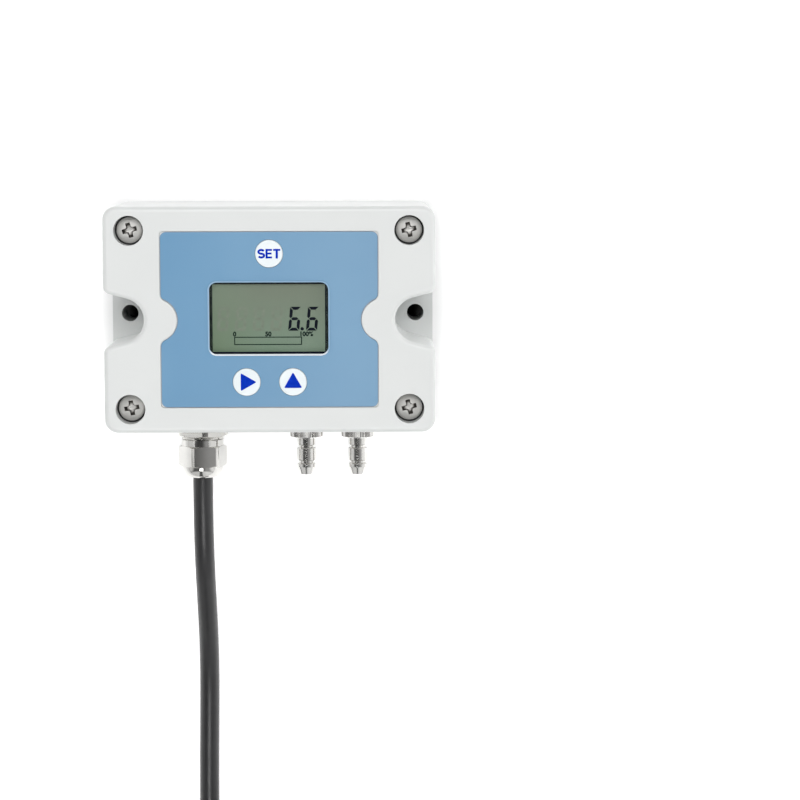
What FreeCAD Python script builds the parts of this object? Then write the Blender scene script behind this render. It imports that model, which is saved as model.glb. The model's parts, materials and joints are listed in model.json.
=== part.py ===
import FreeCAD, Part
import math
import os
import re
import Sketcher
from FreeCAD import Rotation, Vector

# Differential pressure transmitter, in millimetres, lying on its back: X along the case to the right of
# the display, Y towards the display's top, Z out of the front. The origin is at the middle of the back.
sizes = {
    # case
    "case_length": 100.0,
    "case_width": 68.5,
    "case_height": 47.0,
    "lid_height": 14.0,
    "corner_radius": 4.0,
    "wall": 2.75,
    "floor_thickness": 3.0,
    "roof_thickness": 3.0,
    "lid_round": 1.5,
    "foot_round": 1.0,
    "seam_bevel": 0.3,
    # side notches with the wall fixing holes
    "notch_radius": 6.7,
    "notch_flare": 15.0,
    "mouth_round": 2.0,
    "ear_height": 17.0,
    "mount_inset": 5.4,
    "mount_hole": 5.2,
    # lid screws, their columns and inserts
    "screw_inset_end": 7.8,
    "screw_inset_side": 7.25,
    "column_radius": 6.0,
    "screw_recess": 9.0,
    "screw_recess_depth": 7.0,
    "screw_head": 8.0,
    "screw_head_height": 2.5,
    "screw_head_crown": 0.7,
    "screw_shank": 4.0,
    "screw_length": 13.0,
    "screw_clearance": 0.25,
    "screw_cross": 4.6,
    "screw_cross_arm": 1.1,
    "screw_cross_depth": 1.5,
    "insert_diameter": 5.6,
    "insert_length": 8.0,
    "insert_knurl": 0.25,
    # lid gasket
    "gasket_inset": 0.8,
    "gasket_width": 1.1,
    "gasket_height": 1.5,
    # front label
    "label_margin_end": 17.2,
    "label_width": 53.1,
    "label_rise": 0.1,
    "label_round": 1.2,
    "label_bay_radius": 6.6,
    "label_bay_offset": 1.5,
    "label_bay_round": 2.5,
    "label_thickness": 0.4,
    "label_recess": 0.8,
    "label_gap": 0.15,
    # display
    "window_length": 35.9,
    "window_width": 21.7,
    "window_round": 1.6,
    "window_shift": -0.2,
    "window_rise": 0.5,
    "pane_lap": 1.8,
    "pane_thickness": 1.0,
    "pane_gap": 0.1,
    "view_length": 34.4,
    "view_width": 20.8,
    "bezel_thickness": 0.3,
    "glass_thickness": 2.2,
    "glass_lap": 2.3,
    "backlight_thickness": 2.5,
    "backlight_gap": 1.0,
    # keys and their switches
    "key_diameter": 8.2,
    "key_gap": 0.15,
    "key_seat_gap": 0.05,
    "set_key_rise": 20.0,
    "low_key_drop": 18.8,
    "low_key_spread": 7.0,
    "key_flange": 10.4,
    "key_flange_thickness": 0.8,
    "key_stem": 3.4,
    "key_travel": 0.5,
    "switch_width": 6.0,
    "switch_height": 2.6,
    "plunger_diameter": 2.8,
    "plunger_gap": 0.15,
    "plunger_reach": 0.8,
    "plunger_depth": 1.0,
    "plunger_floor_gap": 0.15,
    # display board
    "board_thickness": 1.6,
    "board_round": 2.0,
    "display_board_gap_end": 5.15,
    "display_board_gap_side": 5.5,
    "display_hole_inset_end": 4.0,
    "display_hole_inset_side": 4.5,
    "display_post": 5.0,
    # main board
    "main_board_gap_end": 2.15,
    "main_board_gap_side": 6.5,
    "main_hole_inset": 3.5,
    "main_post": 6.0,
    "main_post_height": 5.0,
    # board screws
    "small_screw": 2.2,
    "small_screw_head": 4.2,
    "small_screw_head_height": 1.4,
    "small_screw_length": 5.5,
    "small_screw_slack": 0.2,
    # flat cable between the boards
    "header_length": 14.0,
    "header_width": 5.0,
    "header_height": 6.0,
    "ribbon_width": 10.0,
    "ribbon_thickness": 0.9,
    "ribbon_sag": 3.0,
    "ribbon_setoff": 14.4,
    "header_gap": 3.5,
    # pressure ports
    "port_drop": 10.7,
    "port_inset": 23.6,
    "port_pitch": 16.0,
    "nozzle_bore": 2.0,
    "nozzle_thread": 6.0,
    "nozzle_collar": 9.9,
    "nozzle_collar_length": 3.75,
    "nozzle_collar_bevel": 0.25,
    "nozzle_neck": 6.0,
    "nozzle_neck_length": 2.65,
    "nozzle_groove": 4.9,
    "nozzle_groove_length": 0.5,
    "nozzle_ridge": 6.1,
    "nozzle_ridge_length": 4.4,
    "nozzle_slope": 0.35,
    "nozzle_tip": 4.4,
    "nozzle_tip_length": 3.6,
    "nozzle_tip_land": 1.3,
    "nozzle_thread_spare": 1.2,
    "nozzle_nut": 9.0,
    "nozzle_nut_thickness": 2.5,
    "nozzle_seal": 9.4,
    "nozzle_seal_thickness": 0.5,
    "thread_gap": 0.05,
    # silicone tubes and pressure sensor
    "spigot": 3.2,
    "spigot_length": 5.0,
    "tube_wall": 1.0,
    "tube_gap": 0.02,
    "tube_clear": 0.6,
    "sensor_length": 24.0,
    "sensor_width": 14.0,
    "sensor_body": 9.0,
    "sensor_setback": 11.0,
    "sensor_port_height": 5.4,
    "sensor_port_length": 7.0,
    # terminal block
    "terminal_pitch": 5.0,
    "terminal_width": 8.0,
    "terminal_block_height": 10.0,
    "terminal_setback": 2.0,
    "terminal_entry": 2.4,
    "terminal_entry_depth": 4.0,
    "terminal_entry_height": 3.4,
    "terminal_screw": 3.4,
    "terminal_screw_depth": 1.2,
    # cable gland
    "gland_inset": 28.1,
    "gland_drop": 8.5,
    "gland_thread": 12.0,
    "gland_bore": 7.2,
    "gland_gasket": 15.0,
    "gland_gasket_thickness": 1.0,
    "gland_body_flats": 15.2,
    "gland_body_corners": 16.6,
    "gland_body_turn": 21.0,
    "gland_body_hexagon": 2.4,
    "gland_neck": 10.8,
    "gland_neck_length": 8.0,
    "gland_nut_clear": 1.1,
    "gland_collar": 13.3,
    "gland_collar_length": 1.85,
    "gland_nut_flats": 13.6,
    "gland_nut_corners": 15.1,
    "gland_nut_turn": 50.0,
    "gland_nut_hexagon": 6.55,
    "gland_dome": 13.0,
    "gland_dome_length": 3.3,
    "gland_dome_end": 9.8,
    "gland_mouth": 8.2,
    "gland_bevel": 0.45,
    "gland_bevel_slope": 30.0,
    "gland_seal_wall": 1.5,
    "gland_seal_length": 5.6,
    "gland_claw_lip": 0.3,
    "gland_tail": 4.5,
    "locknut_flats": 15.0,
    "locknut_thickness": 3.5,
    # cable
    "cable_diameter": 6.2,
    "cable_fit": 0.03,
    "cable_inside": 16.0,
    "core_diameter": 1.4,
    "core_pitch": 1.9,
    # put-away coil at the cable's far end
    "coil_middle": 66.0,
    "coil_drop": 206.0,
    "tie_width": 4.0,
    "tie_thickness": 0.6,
    "tie_gap": 0.1,
    "core_tail": 24.0,
    "core_fan": 2.2,
    "core_gap": 0.2,
    "ferrule_diameter": 1.9,
    "ferrule_length": 8.0,
}

document = FreeCAD.newDocument("transmitter")
sheet = document.addObject("Spreadsheet::Sheet", "Sizes")
for row, (name, number) in enumerate(sizes.items(), start=1):
    sheet.set("A%d" % row, name)
    sheet.set("B%d" % row, str(number))
    sheet.setAlias("B%d" % row, name)
document.recompute()

pieces = {}


def bound(text):
    """The expression with each size's name pointing into the sheet."""
    sheet_name = lambda word: ("Sizes." if word.group() in sizes else "") + word.group()
    return re.sub(r"[a-z_]+", sheet_name, str(text))


def value(text):
    return float(sheet.evalExpression(bound(text)))


# Heights and depths that several pieces share
seam = "(case_height - lid_height)"
roof = "(case_height - roof_thickness)"
half_length = "(case_length / 2)"
half_width = "(case_width / 2)"
mount_x = "(case_length / 2 - mount_inset)"
screw_x = "(case_length / 2 - screw_inset_end)"
screw_y = "(case_width / 2 - screw_inset_side)"
label_x = "(case_length / 2 - label_margin_end)"
label_y = "(label_width / 2)"
notch_wall_x = "(%s - notch_radius - wall)" % mount_x
display_board_x = "(%s - display_board_gap_end)" % notch_wall_x
display_board_y = "(case_width / 2 - wall - display_board_gap_side)"
display_hole_x = "(%s - display_hole_inset_end)" % display_board_x
display_hole_y = "(%s - display_hole_inset_side)" % display_board_y
main_board_x = "(%s - main_board_gap_end)" % notch_wall_x
main_board_y = "(case_width / 2 - wall - main_board_gap_side)"
main_hole_x = "(%s - main_hole_inset)" % main_board_x
main_hole_y = "(%s - main_hole_inset)" % main_board_y
label_top = "(case_height - label_recess + label_thickness)"
bezel_bottom = "(case_height - roof_thickness - bezel_thickness)"
glass_bottom = "(%s - glass_thickness)" % bezel_bottom
board_top = "(%s - backlight_thickness)" % glass_bottom
switch_top = "(%s + switch_height)" % board_top
plunger_top = "(%s + plunger_reach)" % switch_top
main_board_top = "(floor_thickness + main_post_height + board_thickness)"
low_port = "(case_length / 2 - port_inset)"
high_port = "(%s - port_pitch)" % low_port
port_height = "(%s - port_drop)" % seam
sensor_x = "(%s - port_pitch / 2)" % low_port
ribbon_x = "(%s - sensor_length / 2 - ribbon_setoff)" % sensor_x
ribbon_y = "(terminal_setback + terminal_width + header_gap + header_width / 2)"
gland_x = "(gland_inset - case_length / 2)"
gland_height = "(%s - gland_drop)" % seam
flats_bevel = "(gland_bevel / tan(gland_bevel_slope))"
gland_face = "(gland_gasket_thickness + gland_body_hexagon)"
nut_face = "(%s + gland_nut_clear)" % gland_face
hexagon_face = "(%s + gland_collar_length)" % nut_face
dome_face = "(%s + gland_nut_hexagon)" % hexagon_face
gland_reach = "(%s + gland_dome_length)" % dome_face
neck_end = "(%s + gland_neck_length)" % gland_face


def make_body(label):
    body = document.addObject("PartDesign::Body", label)
    body.Label = label
    pieces[label] = body
    return body


def make_sketch(body, role, level="0"):
    """A sketch on one of the body's own origin planes, moved along that plane's normal."""
    plane = next(feature for feature in body.Origin.OriginFeatures if feature.Role == role)
    sketch = body.newObject("Sketcher::SketchObject", body.Name + "_sketch")
    sketch.AttachmentSupport = (plane, [""])
    sketch.MapMode = "FlatFace"
    sketch.setExpression("AttachmentOffset.Base.z", bound(level))
    return sketch


def tie(sketch, constraint, text):
    """One dimension of a sketch, bound to the sheet."""
    index = sketch.addConstraint(constraint)
    sketch.renameConstraint(index, "size_%d" % index)
    sketch.setExpression("Constraints.size_%d" % index, bound(text))


def draw_circle(sketch, x, y, diameter):
    centre = Vector(value(x), value(y), 0)
    circle = sketch.addGeometry(Part.Circle(centre, Vector(0, 0, 1), value(diameter) / 2), False)
    tie(sketch, Sketcher.Constraint("Diameter", circle, value(diameter)), diameter)
    tie(sketch, Sketcher.Constraint("DistanceX", -1, 1, circle, 3, value(x)), x)
    tie(sketch, Sketcher.Constraint("DistanceY", -1, 1, circle, 3, value(y)), y)


def draw_outline(sketch, corners):
    """A closed outline. A corner is (x, y), or (x, y, radius) where an arc arrives at it: a positive
    radius has its centre to the left of the way there, a negative one to the right."""
    points = [Vector(value(corner[0]), value(corner[1]), 0) for corner in corners]
    ends = []
    for number, corner in enumerate(corners):
        start, end = points[number - 1], points[number]
        if len(corner) == 2:
            edge = sketch.addGeometry(Part.LineSegment(start, end), False)
            ends.append((edge, 1, 2))
            continue
        radius = value(corner[2])
        chord = end - start
        left = Vector(-chord.y, chord.x, 0).normalize()
        away = math.sqrt(max(radius ** 2 - chord.Length ** 2 / 4, 0.0))
        centre = (start + end) / 2 + left * math.copysign(away, radius)
        first, last = (start, end) if radius > 0 else (end, start)
        angles = [math.atan2(point.y - centre.y, point.x - centre.x) for point in (first, last)]
        circle = Part.Circle(centre, Vector(0, 0, 1), abs(radius))
        edge = sketch.addGeometry(Part.ArcOfCircle(circle, *angles), False)
        ends.append((edge, 1, 2) if radius > 0 else (edge, 2, 1))
        size = "abs(%s)" % corner[2]
        tie(sketch, Sketcher.Constraint("Radius", edge, abs(radius)), size)
    for number, corner in enumerate(corners):
        edge, _, finish = ends[number]
        following, begin, _ = ends[(number + 1) % len(ends)]
        sketch.addConstraint(Sketcher.Constraint("Coincident", edge, finish, following, begin))
        x, y = corner[:2]
        tie(sketch, Sketcher.Constraint("DistanceX", -1, 1, edge, finish, points[number].x), x)
        tie(sketch, Sketcher.Constraint("DistanceY", -1, 1, edge, finish, points[number].y), y)


def draw_rectangle(sketch, length, width, x="0", y="0", radius=None):
    """A rectangle about (x, y), with round corners where a radius is given."""
    left, right = ("(%s - (%s) / 2)" % (x, length), "(%s + (%s) / 2)" % (x, length))
    low, high = ("(%s - (%s) / 2)" % (y, width), "(%s + (%s) / 2)" % (y, width))
    if radius is None:
        draw_outline(sketch, [(left, low), (right, low), (right, high), (left, high)])
        return
    draw_outline(sketch, [
        (right + " - " + radius, low), (right, low + " + " + radius, radius),
        (right, high + " - " + radius), (right + " - " + radius, high, radius),
        (left + " + " + radius, high), (left, high + " - " + radius, radius),
        (left, low + " + " + radius), (left + " + " + radius, low, radius),
    ])


def draw_hexagon(sketch, flats, turn="0"):
    corner = "(%s) / sqrt(3)" % flats
    turns = ["%d + %s" % (60 * number, turn) for number in range(6)]
    draw_outline(sketch, [("%s * cos(%s)" % (corner, at), "%s * sin(%s)" % (corner, at)) for at in turns])


def pad(body, sketch, height, down=False):
    feature = body.newObject("PartDesign::Pad", body.Name + "_pad")
    feature.Profile = sketch
    feature.Reversed = down
    feature.setExpression("Length", bound(height))
    document.recompute()
    return feature


def revolve(body, sketch):
    """Turns a profile of (radius, height) round the body's own Z."""
    feature = body.newObject("PartDesign::Revolution", body.Name + "_revolution")
    feature.Profile = sketch
    feature.ReferenceAxis = (sketch, ["V_Axis"])
    feature.Angle = 360
    document.recompute()
    return feature


def pocket(body, sketch, depth, up=False):
    """Cuts against the sketch's normal, or along it where up is given, and makes sure that it cut."""
    before = body.Shape.Volume
    feature = body.newObject("PartDesign::Pocket", body.Name + "_pocket")
    feature.Profile = sketch
    feature.Reversed = up
    feature.setExpression("Length", bound(depth))
    document.recompute()
    if not body.Shape.Volume < before:
        raise ValueError(feature.Name + " cuts nothing")
    return feature


def dress(body, kind, amount, wanted):
    """A fillet or chamfer on the edges of the body that a test picks."""
    base = body.Tip
    names = ["Edge%d" % number for number, edge in enumerate(base.Shape.Edges, start=1) if wanted(edge)]
    feature = body.newObject("PartDesign::" + kind, body.Name + "_" + kind.lower())
    feature.Base = (base, names)
    feature.setExpression("Radius" if kind == "Fillet" else "Size", bound(amount))
    document.recompute()
    return feature


def upright_at(edge, x, y):
    """Whether an edge is a vertical line at plus or minus x and y."""
    middle = edge.CenterOfMass
    box = edge.BoundBox
    straight = max(box.XLength, box.YLength) < 1e-4 < box.ZLength
    return straight and abs(abs(middle.x) - x) < 1e-3 and abs(abs(middle.y) - y) < 1e-3


def level_at(edge, height):
    box = edge.BoundBox
    return abs(box.ZMin - height) < 1e-4 and abs(box.ZMax - height) < 1e-4


def turn_outwards(body, x, height):
    """Stands a body's own Z along -Y, out of the case's lower wall."""
    body.Placement.Rotation = Rotation(Vector(1, 0, 0), 90)
    body.setExpression("Placement.Base.x", bound(x))
    body.setExpression("Placement.Base.y", bound("-case_width / 2"))
    body.setExpression("Placement.Base.z", bound(height))


def four_of(body, label):
    """The body and its mirror images in X and Y, as one group of separate solids."""
    del pieces[body.Label]
    copies = [body]
    for normal in (Vector(1, 0, 0), Vector(0, 1, 0)):
        for source in list(copies):
            mirror = document.addObject("Part::Mirroring", label + "_mirror")
            mirror.Source = source
            mirror.Normal = normal
            copies.append(mirror)
    group = document.addObject("Part::Compound", label)
    group.Label = label
    group.Links = copies
    pieces[label] = group


def side_notch(side, radius="notch_radius"):
    """The notch over a fixing hole: an arc about the hole and two flanks that flare outwards."""
    tangent_x = "(%s - %s * sin(notch_flare))" % (mount_x, radius)
    tangent_y = "(%s * cos(notch_flare))" % radius
    mouth_x = "(case_length / 2 + wall)"
    mouth_y = "(%s + (%s - %s) * tan(notch_flare))" % (tangent_y, mouth_x, tangent_x)
    sign = "" if side > 0 else "-"
    return [
        (sign + mouth_x, "-" + mouth_y), (sign + mouth_x, mouth_y),
        (sign + tangent_x, tangent_y), (sign + tangent_x, "-" + tangent_y, sign + radius),
    ]


def inner_outline(grow="0"):
    """The hollow's outline: walls, corner columns and the walls round both notches."""
    across = "(case_length / 2 - wall + %s)" % grow
    along = "(case_width / 2 - wall + %s)" % grow
    column = "(column_radius - %s)" % grow
    column_side = "(%s - %s)" % (screw_x, column)
    column_low = "(%s - %s)" % (screw_y, column)
    bow = "(notch_radius + wall - %s)" % grow
    bow_x = "(%s - %s * sin(notch_flare))" % (mount_x, bow)
    bow_y = "(%s * cos(notch_flare))" % bow
    flank = "(%s + (%s - %s) * tan(notch_flare))" % (bow_y, across, bow_x)
    upper = [
        (bow_x, bow_y, "-" + bow), (across, flank), (across, column_low), (screw_x, column_low),
        (column_side, screw_y, "-" + column), (column_side, along), ("-" + column_side, along),
        ("-" + column_side, screw_y), ("-" + screw_x, column_low, "-" + column),
        ("-" + across, column_low), ("-" + across, flank), ("-" + bow_x, bow_y),
    ]
    return upper + [("-" + corner[0], "-" + corner[1]) + corner[2:] for corner in upper]


def cut_notches(body, level, depth, up):
    for side in (1, -1):
        sketch = make_sketch(body, "XY_Plane", level)
        draw_outline(sketch, side_notch(side))
        pocket(body, sketch, depth, up)
    mouth = value("notch_radius * cos(notch_flare)"
                  " + (mount_inset + notch_radius * sin(notch_flare)) * tan(notch_flare)")
    dress(body, "Fillet", "mouth_round", lambda edge: upright_at(edge, value(half_length), mouth))


def cut_at_corners(body, level, x, y, diameter, depth, up=False):
    """Four round holes, at plus and minus x and y."""
    sketch = make_sketch(body, "XY_Plane", level)
    for side in ("", "-"):
        for end in ("", "-"):
            draw_circle(sketch, side + x, end + y, diameter)
    pocket(body, sketch, depth, up)


def add_posts(body, level, x, y, diameter, height, down=False):
    sketch = make_sketch(body, "XY_Plane", level)
    for side in ("", "-"):
        for end in ("", "-"):
            draw_circle(sketch, side + x, end + y, diameter)
    pad(body, sketch, height, down)


def make_case_base():
    body = make_body("case_base")
    sketch = make_sketch(body, "XY_Plane")
    draw_rectangle(sketch, "case_length", "case_width", radius="corner_radius")
    pad(body, sketch, seam)
    dress(body, "Fillet", "foot_round", lambda edge: level_at(edge, 0))
    cut_notches(body, seam, seam + " - ear_height", False)
    dress(body, "Chamfer", "seam_bevel", lambda edge: level_at(edge, value(seam)))
    sketch = make_sketch(body, "XY_Plane", seam)
    draw_outline(sketch, inner_outline())
    pocket(body, sketch, seam + " - floor_thickness")
    add_posts(body, "floor_thickness", main_hole_x, main_hole_y, "main_post", "main_post_height")
    cut_at_corners(body, "floor_thickness + main_post_height", main_hole_x, main_hole_y,
                   "small_screw", "small_screw_length")
    cut_at_corners(body, seam, screw_x, screw_y, "insert_diameter", "insert_length")
    sketch = make_sketch(body, "XY_Plane", "ear_height")
    for side in ("", "-"):
        draw_circle(sketch, side + mount_x, "0", "mount_hole")
    pocket(body, sketch, "ear_height")
    sketch = make_sketch(body, "XZ_Plane", half_width)
    draw_circle(sketch, gland_x, gland_height, "gland_thread + 2 * screw_clearance")
    for shift in (high_port, low_port):
        draw_circle(sketch, shift, port_height, "nozzle_thread + 2 * thread_gap")
    pocket(body, sketch, "wall")


def label_outline(grow="0"):
    """The label: straight sides with a round bay beside each notch."""
    half_x = "(%s + %s)" % (label_x, grow)
    low = "(label_rise - %s - %s)" % (label_y, grow)
    high = "(label_rise + %s + %s)" % (label_y, grow)
    bay = "(label_bay_radius - %s)" % grow
    bay_x = "(%s + label_bay_offset)" % label_x
    reach = "sqrt(pow(%s; 2) - pow(%s - %s; 2))" % (bay, bay_x, half_x)
    return [
        (half_x, low), (half_x, "-" + reach), (half_x, reach, "-" + bay), (half_x, high),
        ("-" + half_x, high), ("-" + half_x, reach), ("-" + half_x, "-" + reach, "-" + bay),
        ("-" + half_x, low),
    ]


def round_label(body, grow="0"):
    """Rounds the corners of the label's outline and the lips of its bays."""
    half_x = value("%s + %s" % (label_x, grow))
    ends = [value("%s + %s + label_rise" % (label_y, grow)), value("%s + %s - label_rise" % (label_y, grow))]
    reach = math.sqrt(value("label_bay_radius - " + grow) ** 2 - value("label_bay_offset - " + grow) ** 2)
    dress(body, "Fillet", "label_round", lambda edge: any(upright_at(edge, half_x, end) for end in ends))
    dress(body, "Fillet", "label_bay_round", lambda edge: upright_at(edge, half_x, reach))


key_places = {
    "key_set": ("0", "set_key_rise"),
    "key_shift": ("-low_key_spread", "-low_key_drop"),
    "key_up": ("low_key_spread", "-low_key_drop"),
}


def cut_window_and_keys(body, level, depth):
    """The display's opening and the three round key holes."""
    sketch = make_sketch(body, "XY_Plane", level)
    draw_rectangle(sketch, "window_length", "window_width", "window_shift", "window_rise", "window_round")
    for x, y in key_places.values():
        draw_circle(sketch, x, y, "key_diameter + 2 * key_gap")
    pocket(body, sketch, depth)


def make_case_lid():
    body = make_body("case_lid")
    sketch = make_sketch(body, "XY_Plane", seam)
    draw_rectangle(sketch, "case_length", "case_width", radius="corner_radius")
    pad(body, sketch, "lid_height")
    cut_notches(body, "case_height", "lid_height", False)
    dress(body, "Fillet", "lid_round", lambda edge: level_at(edge, value("case_height")))
    sketch = make_sketch(body, "XY_Plane", seam)
    draw_outline(sketch, inner_outline())
    pocket(body, sketch, "lid_height - roof_thickness", True)
    sketch = make_sketch(body, "XY_Plane", seam)
    draw_outline(sketch, inner_outline("gasket_inset"))
    draw_outline(sketch, inner_outline("(gasket_inset + gasket_width)"))
    pocket(body, sketch, "gasket_height", True)
    sketch = make_sketch(body, "XY_Plane", "case_height")
    draw_outline(sketch, label_outline("label_gap"))
    pocket(body, sketch, "label_recess")
    round_label(body, "label_gap")
    cut_window_and_keys(body, "case_height", "roof_thickness")
    sketch = make_sketch(body, "XY_Plane", roof)
    draw_rectangle(sketch, "window_length + 2 * pane_lap", "window_width + 2 * pane_lap",
                   "window_shift", "window_rise", "window_round")
    pocket(body, sketch, "pane_thickness", True)
    cut_at_corners(body, "case_height", screw_x, screw_y, "screw_recess", "screw_recess_depth")
    cut_at_corners(body, "case_height", screw_x, screw_y, "screw_shank + 2 * screw_clearance", "lid_height")
    post_height = roof + " - " + board_top
    add_posts(body, roof, display_hole_x, display_hole_y, "display_post", post_height, True)
    cut_at_corners(body, board_top, display_hole_x, display_hole_y, "small_screw", post_height, True)


def make_lid_gasket():
    body = make_body("lid_gasket")
    sketch = make_sketch(body, "XY_Plane", seam)
    draw_outline(sketch, inner_outline("gasket_inset"))
    draw_outline(sketch, inner_outline("(gasket_inset + gasket_width)"))
    pad(body, sketch, "gasket_height")


def make_lid_screws():
    """Pan head screws with a cross recess, under the lid's face in their round recesses."""
    body = make_body("lid_screw")
    seat = "(case_height - screw_recess_depth)"
    sketch = make_sketch(body, "XZ_Plane")
    top = "(%s + screw_head_height)" % seat
    shoulder = "(%s - screw_head_crown)" % top
    crown = "((pow(screw_head; 2) / 4 + pow(screw_head_crown; 2)) / (2 * screw_head_crown))"
    draw_outline(sketch, [
        ("0", seat + " - screw_length"), ("screw_shank / 2", seat + " - screw_length"),
        ("screw_shank / 2", seat), ("screw_head / 2", seat), ("screw_head / 2", shoulder), ("0", top, crown),
    ])
    revolve(body, sketch)
    for long_way, short_way in (("screw_cross", "screw_cross_arm"), ("screw_cross_arm", "screw_cross")):
        sketch = make_sketch(body, "XY_Plane", top)
        draw_rectangle(sketch, long_way, short_way)
        pocket(body, sketch, "screw_cross_depth")
    body.setExpression("Placement.Base.x", bound(screw_x))
    body.setExpression("Placement.Base.y", bound(screw_y))
    four_of(body, "lid_screws")


def make_lid_inserts():
    body = make_body("lid_insert")
    sketch = make_sketch(body, "XZ_Plane")
    outside, bore = "insert_diameter / 2", "screw_shank / 2"
    waist = "(%s - insert_length / 2)" % seam
    low = "(%s - insert_length)" % seam
    draw_outline(sketch, [
        (bore, low), (outside, low), (outside, waist + " - insert_knurl"),
        (outside + " - insert_knurl", waist), (outside, waist + " + insert_knurl"),
        (outside, seam), (bore, seam),
    ])
    revolve(body, sketch)
    body.setExpression("Placement.Base.x", bound(screw_x))
    body.setExpression("Placement.Base.y", bound(screw_y))
    four_of(body, "lid_inserts")


def make_front_label():
    body = make_body("front_label")
    sketch = make_sketch(body, "XY_Plane", "case_height - label_recess")
    draw_outline(sketch, label_outline())
    pad(body, sketch, "label_thickness")
    round_label(body)
    cut_window_and_keys(body, label_top, "label_thickness")


def make_plate(label, length, width, level, thickness, radius=None):
    """A flat piece of the display, centred behind its window."""
    body = make_body(label)
    sketch = make_sketch(body, "XY_Plane", level)
    draw_rectangle(sketch, length, width, "window_shift", "window_rise", radius)
    pad(body, sketch, thickness)
    return body


def make_display():
    make_plate("display_window", "window_length + 2 * pane_lap - 2 * pane_gap",
               "window_width + 2 * pane_lap - 2 * pane_gap", roof, "pane_thickness", "window_round")
    outer = ("view_length + 2 * glass_lap", "view_width + 2 * glass_lap")
    bezel = make_plate("display_bezel", *outer, bezel_bottom, "bezel_thickness")
    sketch = make_sketch(bezel, "XY_Plane", roof)
    draw_rectangle(sketch, "view_length", "view_width", "window_shift", "window_rise")
    pocket(bezel, sketch, "bezel_thickness")
    make_plate("display_glass", *outer, glass_bottom, "glass_thickness")
    make_plate("display_backlight", "view_length + 2 * glass_lap - backlight_gap",
               "view_width + 2 * glass_lap - backlight_gap", board_top, "backlight_thickness")


def make_board(label, x, y, level, hole_x, hole_y):
    body = make_body(label)
    sketch = make_sketch(body, "XY_Plane", level)
    draw_rectangle(sketch, "2 * " + x, "2 * " + y, radius="board_round")
    pad(body, sketch, "board_thickness")
    cut_at_corners(body, level + " + board_thickness", hole_x, hole_y,
                   "small_screw + 2 * small_screw_slack", "board_thickness")


def make_board_screws(label, seat, x, y, upwards):
    """Four small screws, whose heads seat on the board: upwards says that they go up into their posts."""
    body = make_body(label + "_one")
    sketch = make_sketch(body, "XZ_Plane")
    draw_outline(sketch, [
        ("0", "-small_screw_length"), ("small_screw / 2", "-small_screw_length"), ("small_screw / 2", "0"),
        ("small_screw_head / 2", "0"), ("small_screw_head / 2", "small_screw_head_height"),
        ("0", "small_screw_head_height"),
    ])
    revolve(body, sketch)
    if upwards:
        body.Placement.Rotation = Rotation(Vector(1, 0, 0), 180)
    body.setExpression("Placement.Base.x", bound(x))
    body.setExpression("Placement.Base.y", bound(y))
    body.setExpression("Placement.Base.z", bound(seat))
    four_of(body, label)


def make_key(label):
    """A round key cap, held from behind by its flange, with a stem that reaches its switch."""
    x, y = key_places[label]
    body = make_body(label)
    sketch = make_sketch(body, "XZ_Plane")
    flange_top = "(%s - key_seat_gap)" % roof
    flange_low = "(%s - key_flange_thickness)" % flange_top
    draw_outline(sketch, [
        ("0", plunger_top), ("key_stem / 2", plunger_top), ("key_stem / 2", flange_low),
        ("key_flange / 2", flange_low), ("key_flange / 2", flange_top), ("key_diameter / 2", flange_top),
        ("key_diameter / 2", label_top), ("0", label_top),
    ])
    revolve(body, sketch)
    body.setExpression("Placement.Base.x", bound(x))
    body.setExpression("Placement.Base.y", bound(y))


def make_plunger(label, key):
    """The switch's own plunger, which the key's stem rests on."""
    x, y = key_places[key]
    body = make_body(label)
    sketch = make_sketch(body, "XZ_Plane")
    low = "(%s - plunger_depth)" % switch_top
    draw_outline(sketch, [
        ("0", low), ("plunger_diameter / 2", low), ("plunger_diameter / 2", plunger_top), ("0", plunger_top),
    ])
    revolve(body, sketch)
    body.setExpression("Placement.Base.x", bound(x))
    body.setExpression("Placement.Base.y", bound(y))


def make_switches():
    """Square switch bodies on the display board, each with a round well for its plunger."""
    switches = []
    for key, (x, y) in key_places.items():
        body = make_body("switch_" + key)
        sketch = make_sketch(body, "XY_Plane", board_top)
        draw_rectangle(sketch, "switch_width", "switch_width")
        pad(body, sketch, "switch_height")
        sketch = make_sketch(body, "XY_Plane", switch_top)
        draw_circle(sketch, "0", "0", "plunger_diameter + 2 * plunger_gap")
        pocket(body, sketch, "plunger_depth + key_travel + plunger_floor_gap")
        body.setExpression("Placement.Base.x", bound(x))
        body.setExpression("Placement.Base.y", bound(y))
        switches.append(body)
        del pieces[body.Label]
    group = document.addObject("Part::Compound", "key_switches")
    group.Label = "key_switches"
    group.Links = switches
    pieces["key_switches"] = group


def make_ribbon():
    """The flat cable between the two boards, with a header on each."""
    low = main_board_top
    high = "(%s - board_thickness)" % board_top
    headers = []
    for label, level in (("main_header", low), ("display_header", high + " - header_height")):
        body = make_body(label)
        sketch = make_sketch(body, "XY_Plane", level)
        draw_rectangle(sketch, "header_length", "header_width", ribbon_x, ribbon_y)
        pad(body, sketch, "header_height")
        headers.append(body)
    body = make_body("board_ribbon")
    sketch = make_sketch(body, "YZ_Plane", ribbon_x + " - ribbon_width / 2")
    near, far = ("(%s - ribbon_thickness / 2)" % ribbon_y, "(%s + ribbon_thickness / 2)" % ribbon_y)
    start, end = low + " + header_height", high + " - header_height"
    bow = "((pow((%s - (%s)) / 2; 2) + pow(ribbon_sag; 2)) / (2 * ribbon_sag))" % (end, start)
    draw_outline(sketch, [(near, start, "-" + bow), (far, start), (far, end, bow), (near, end)])
    pad(body, sketch, "ribbon_width")


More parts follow.
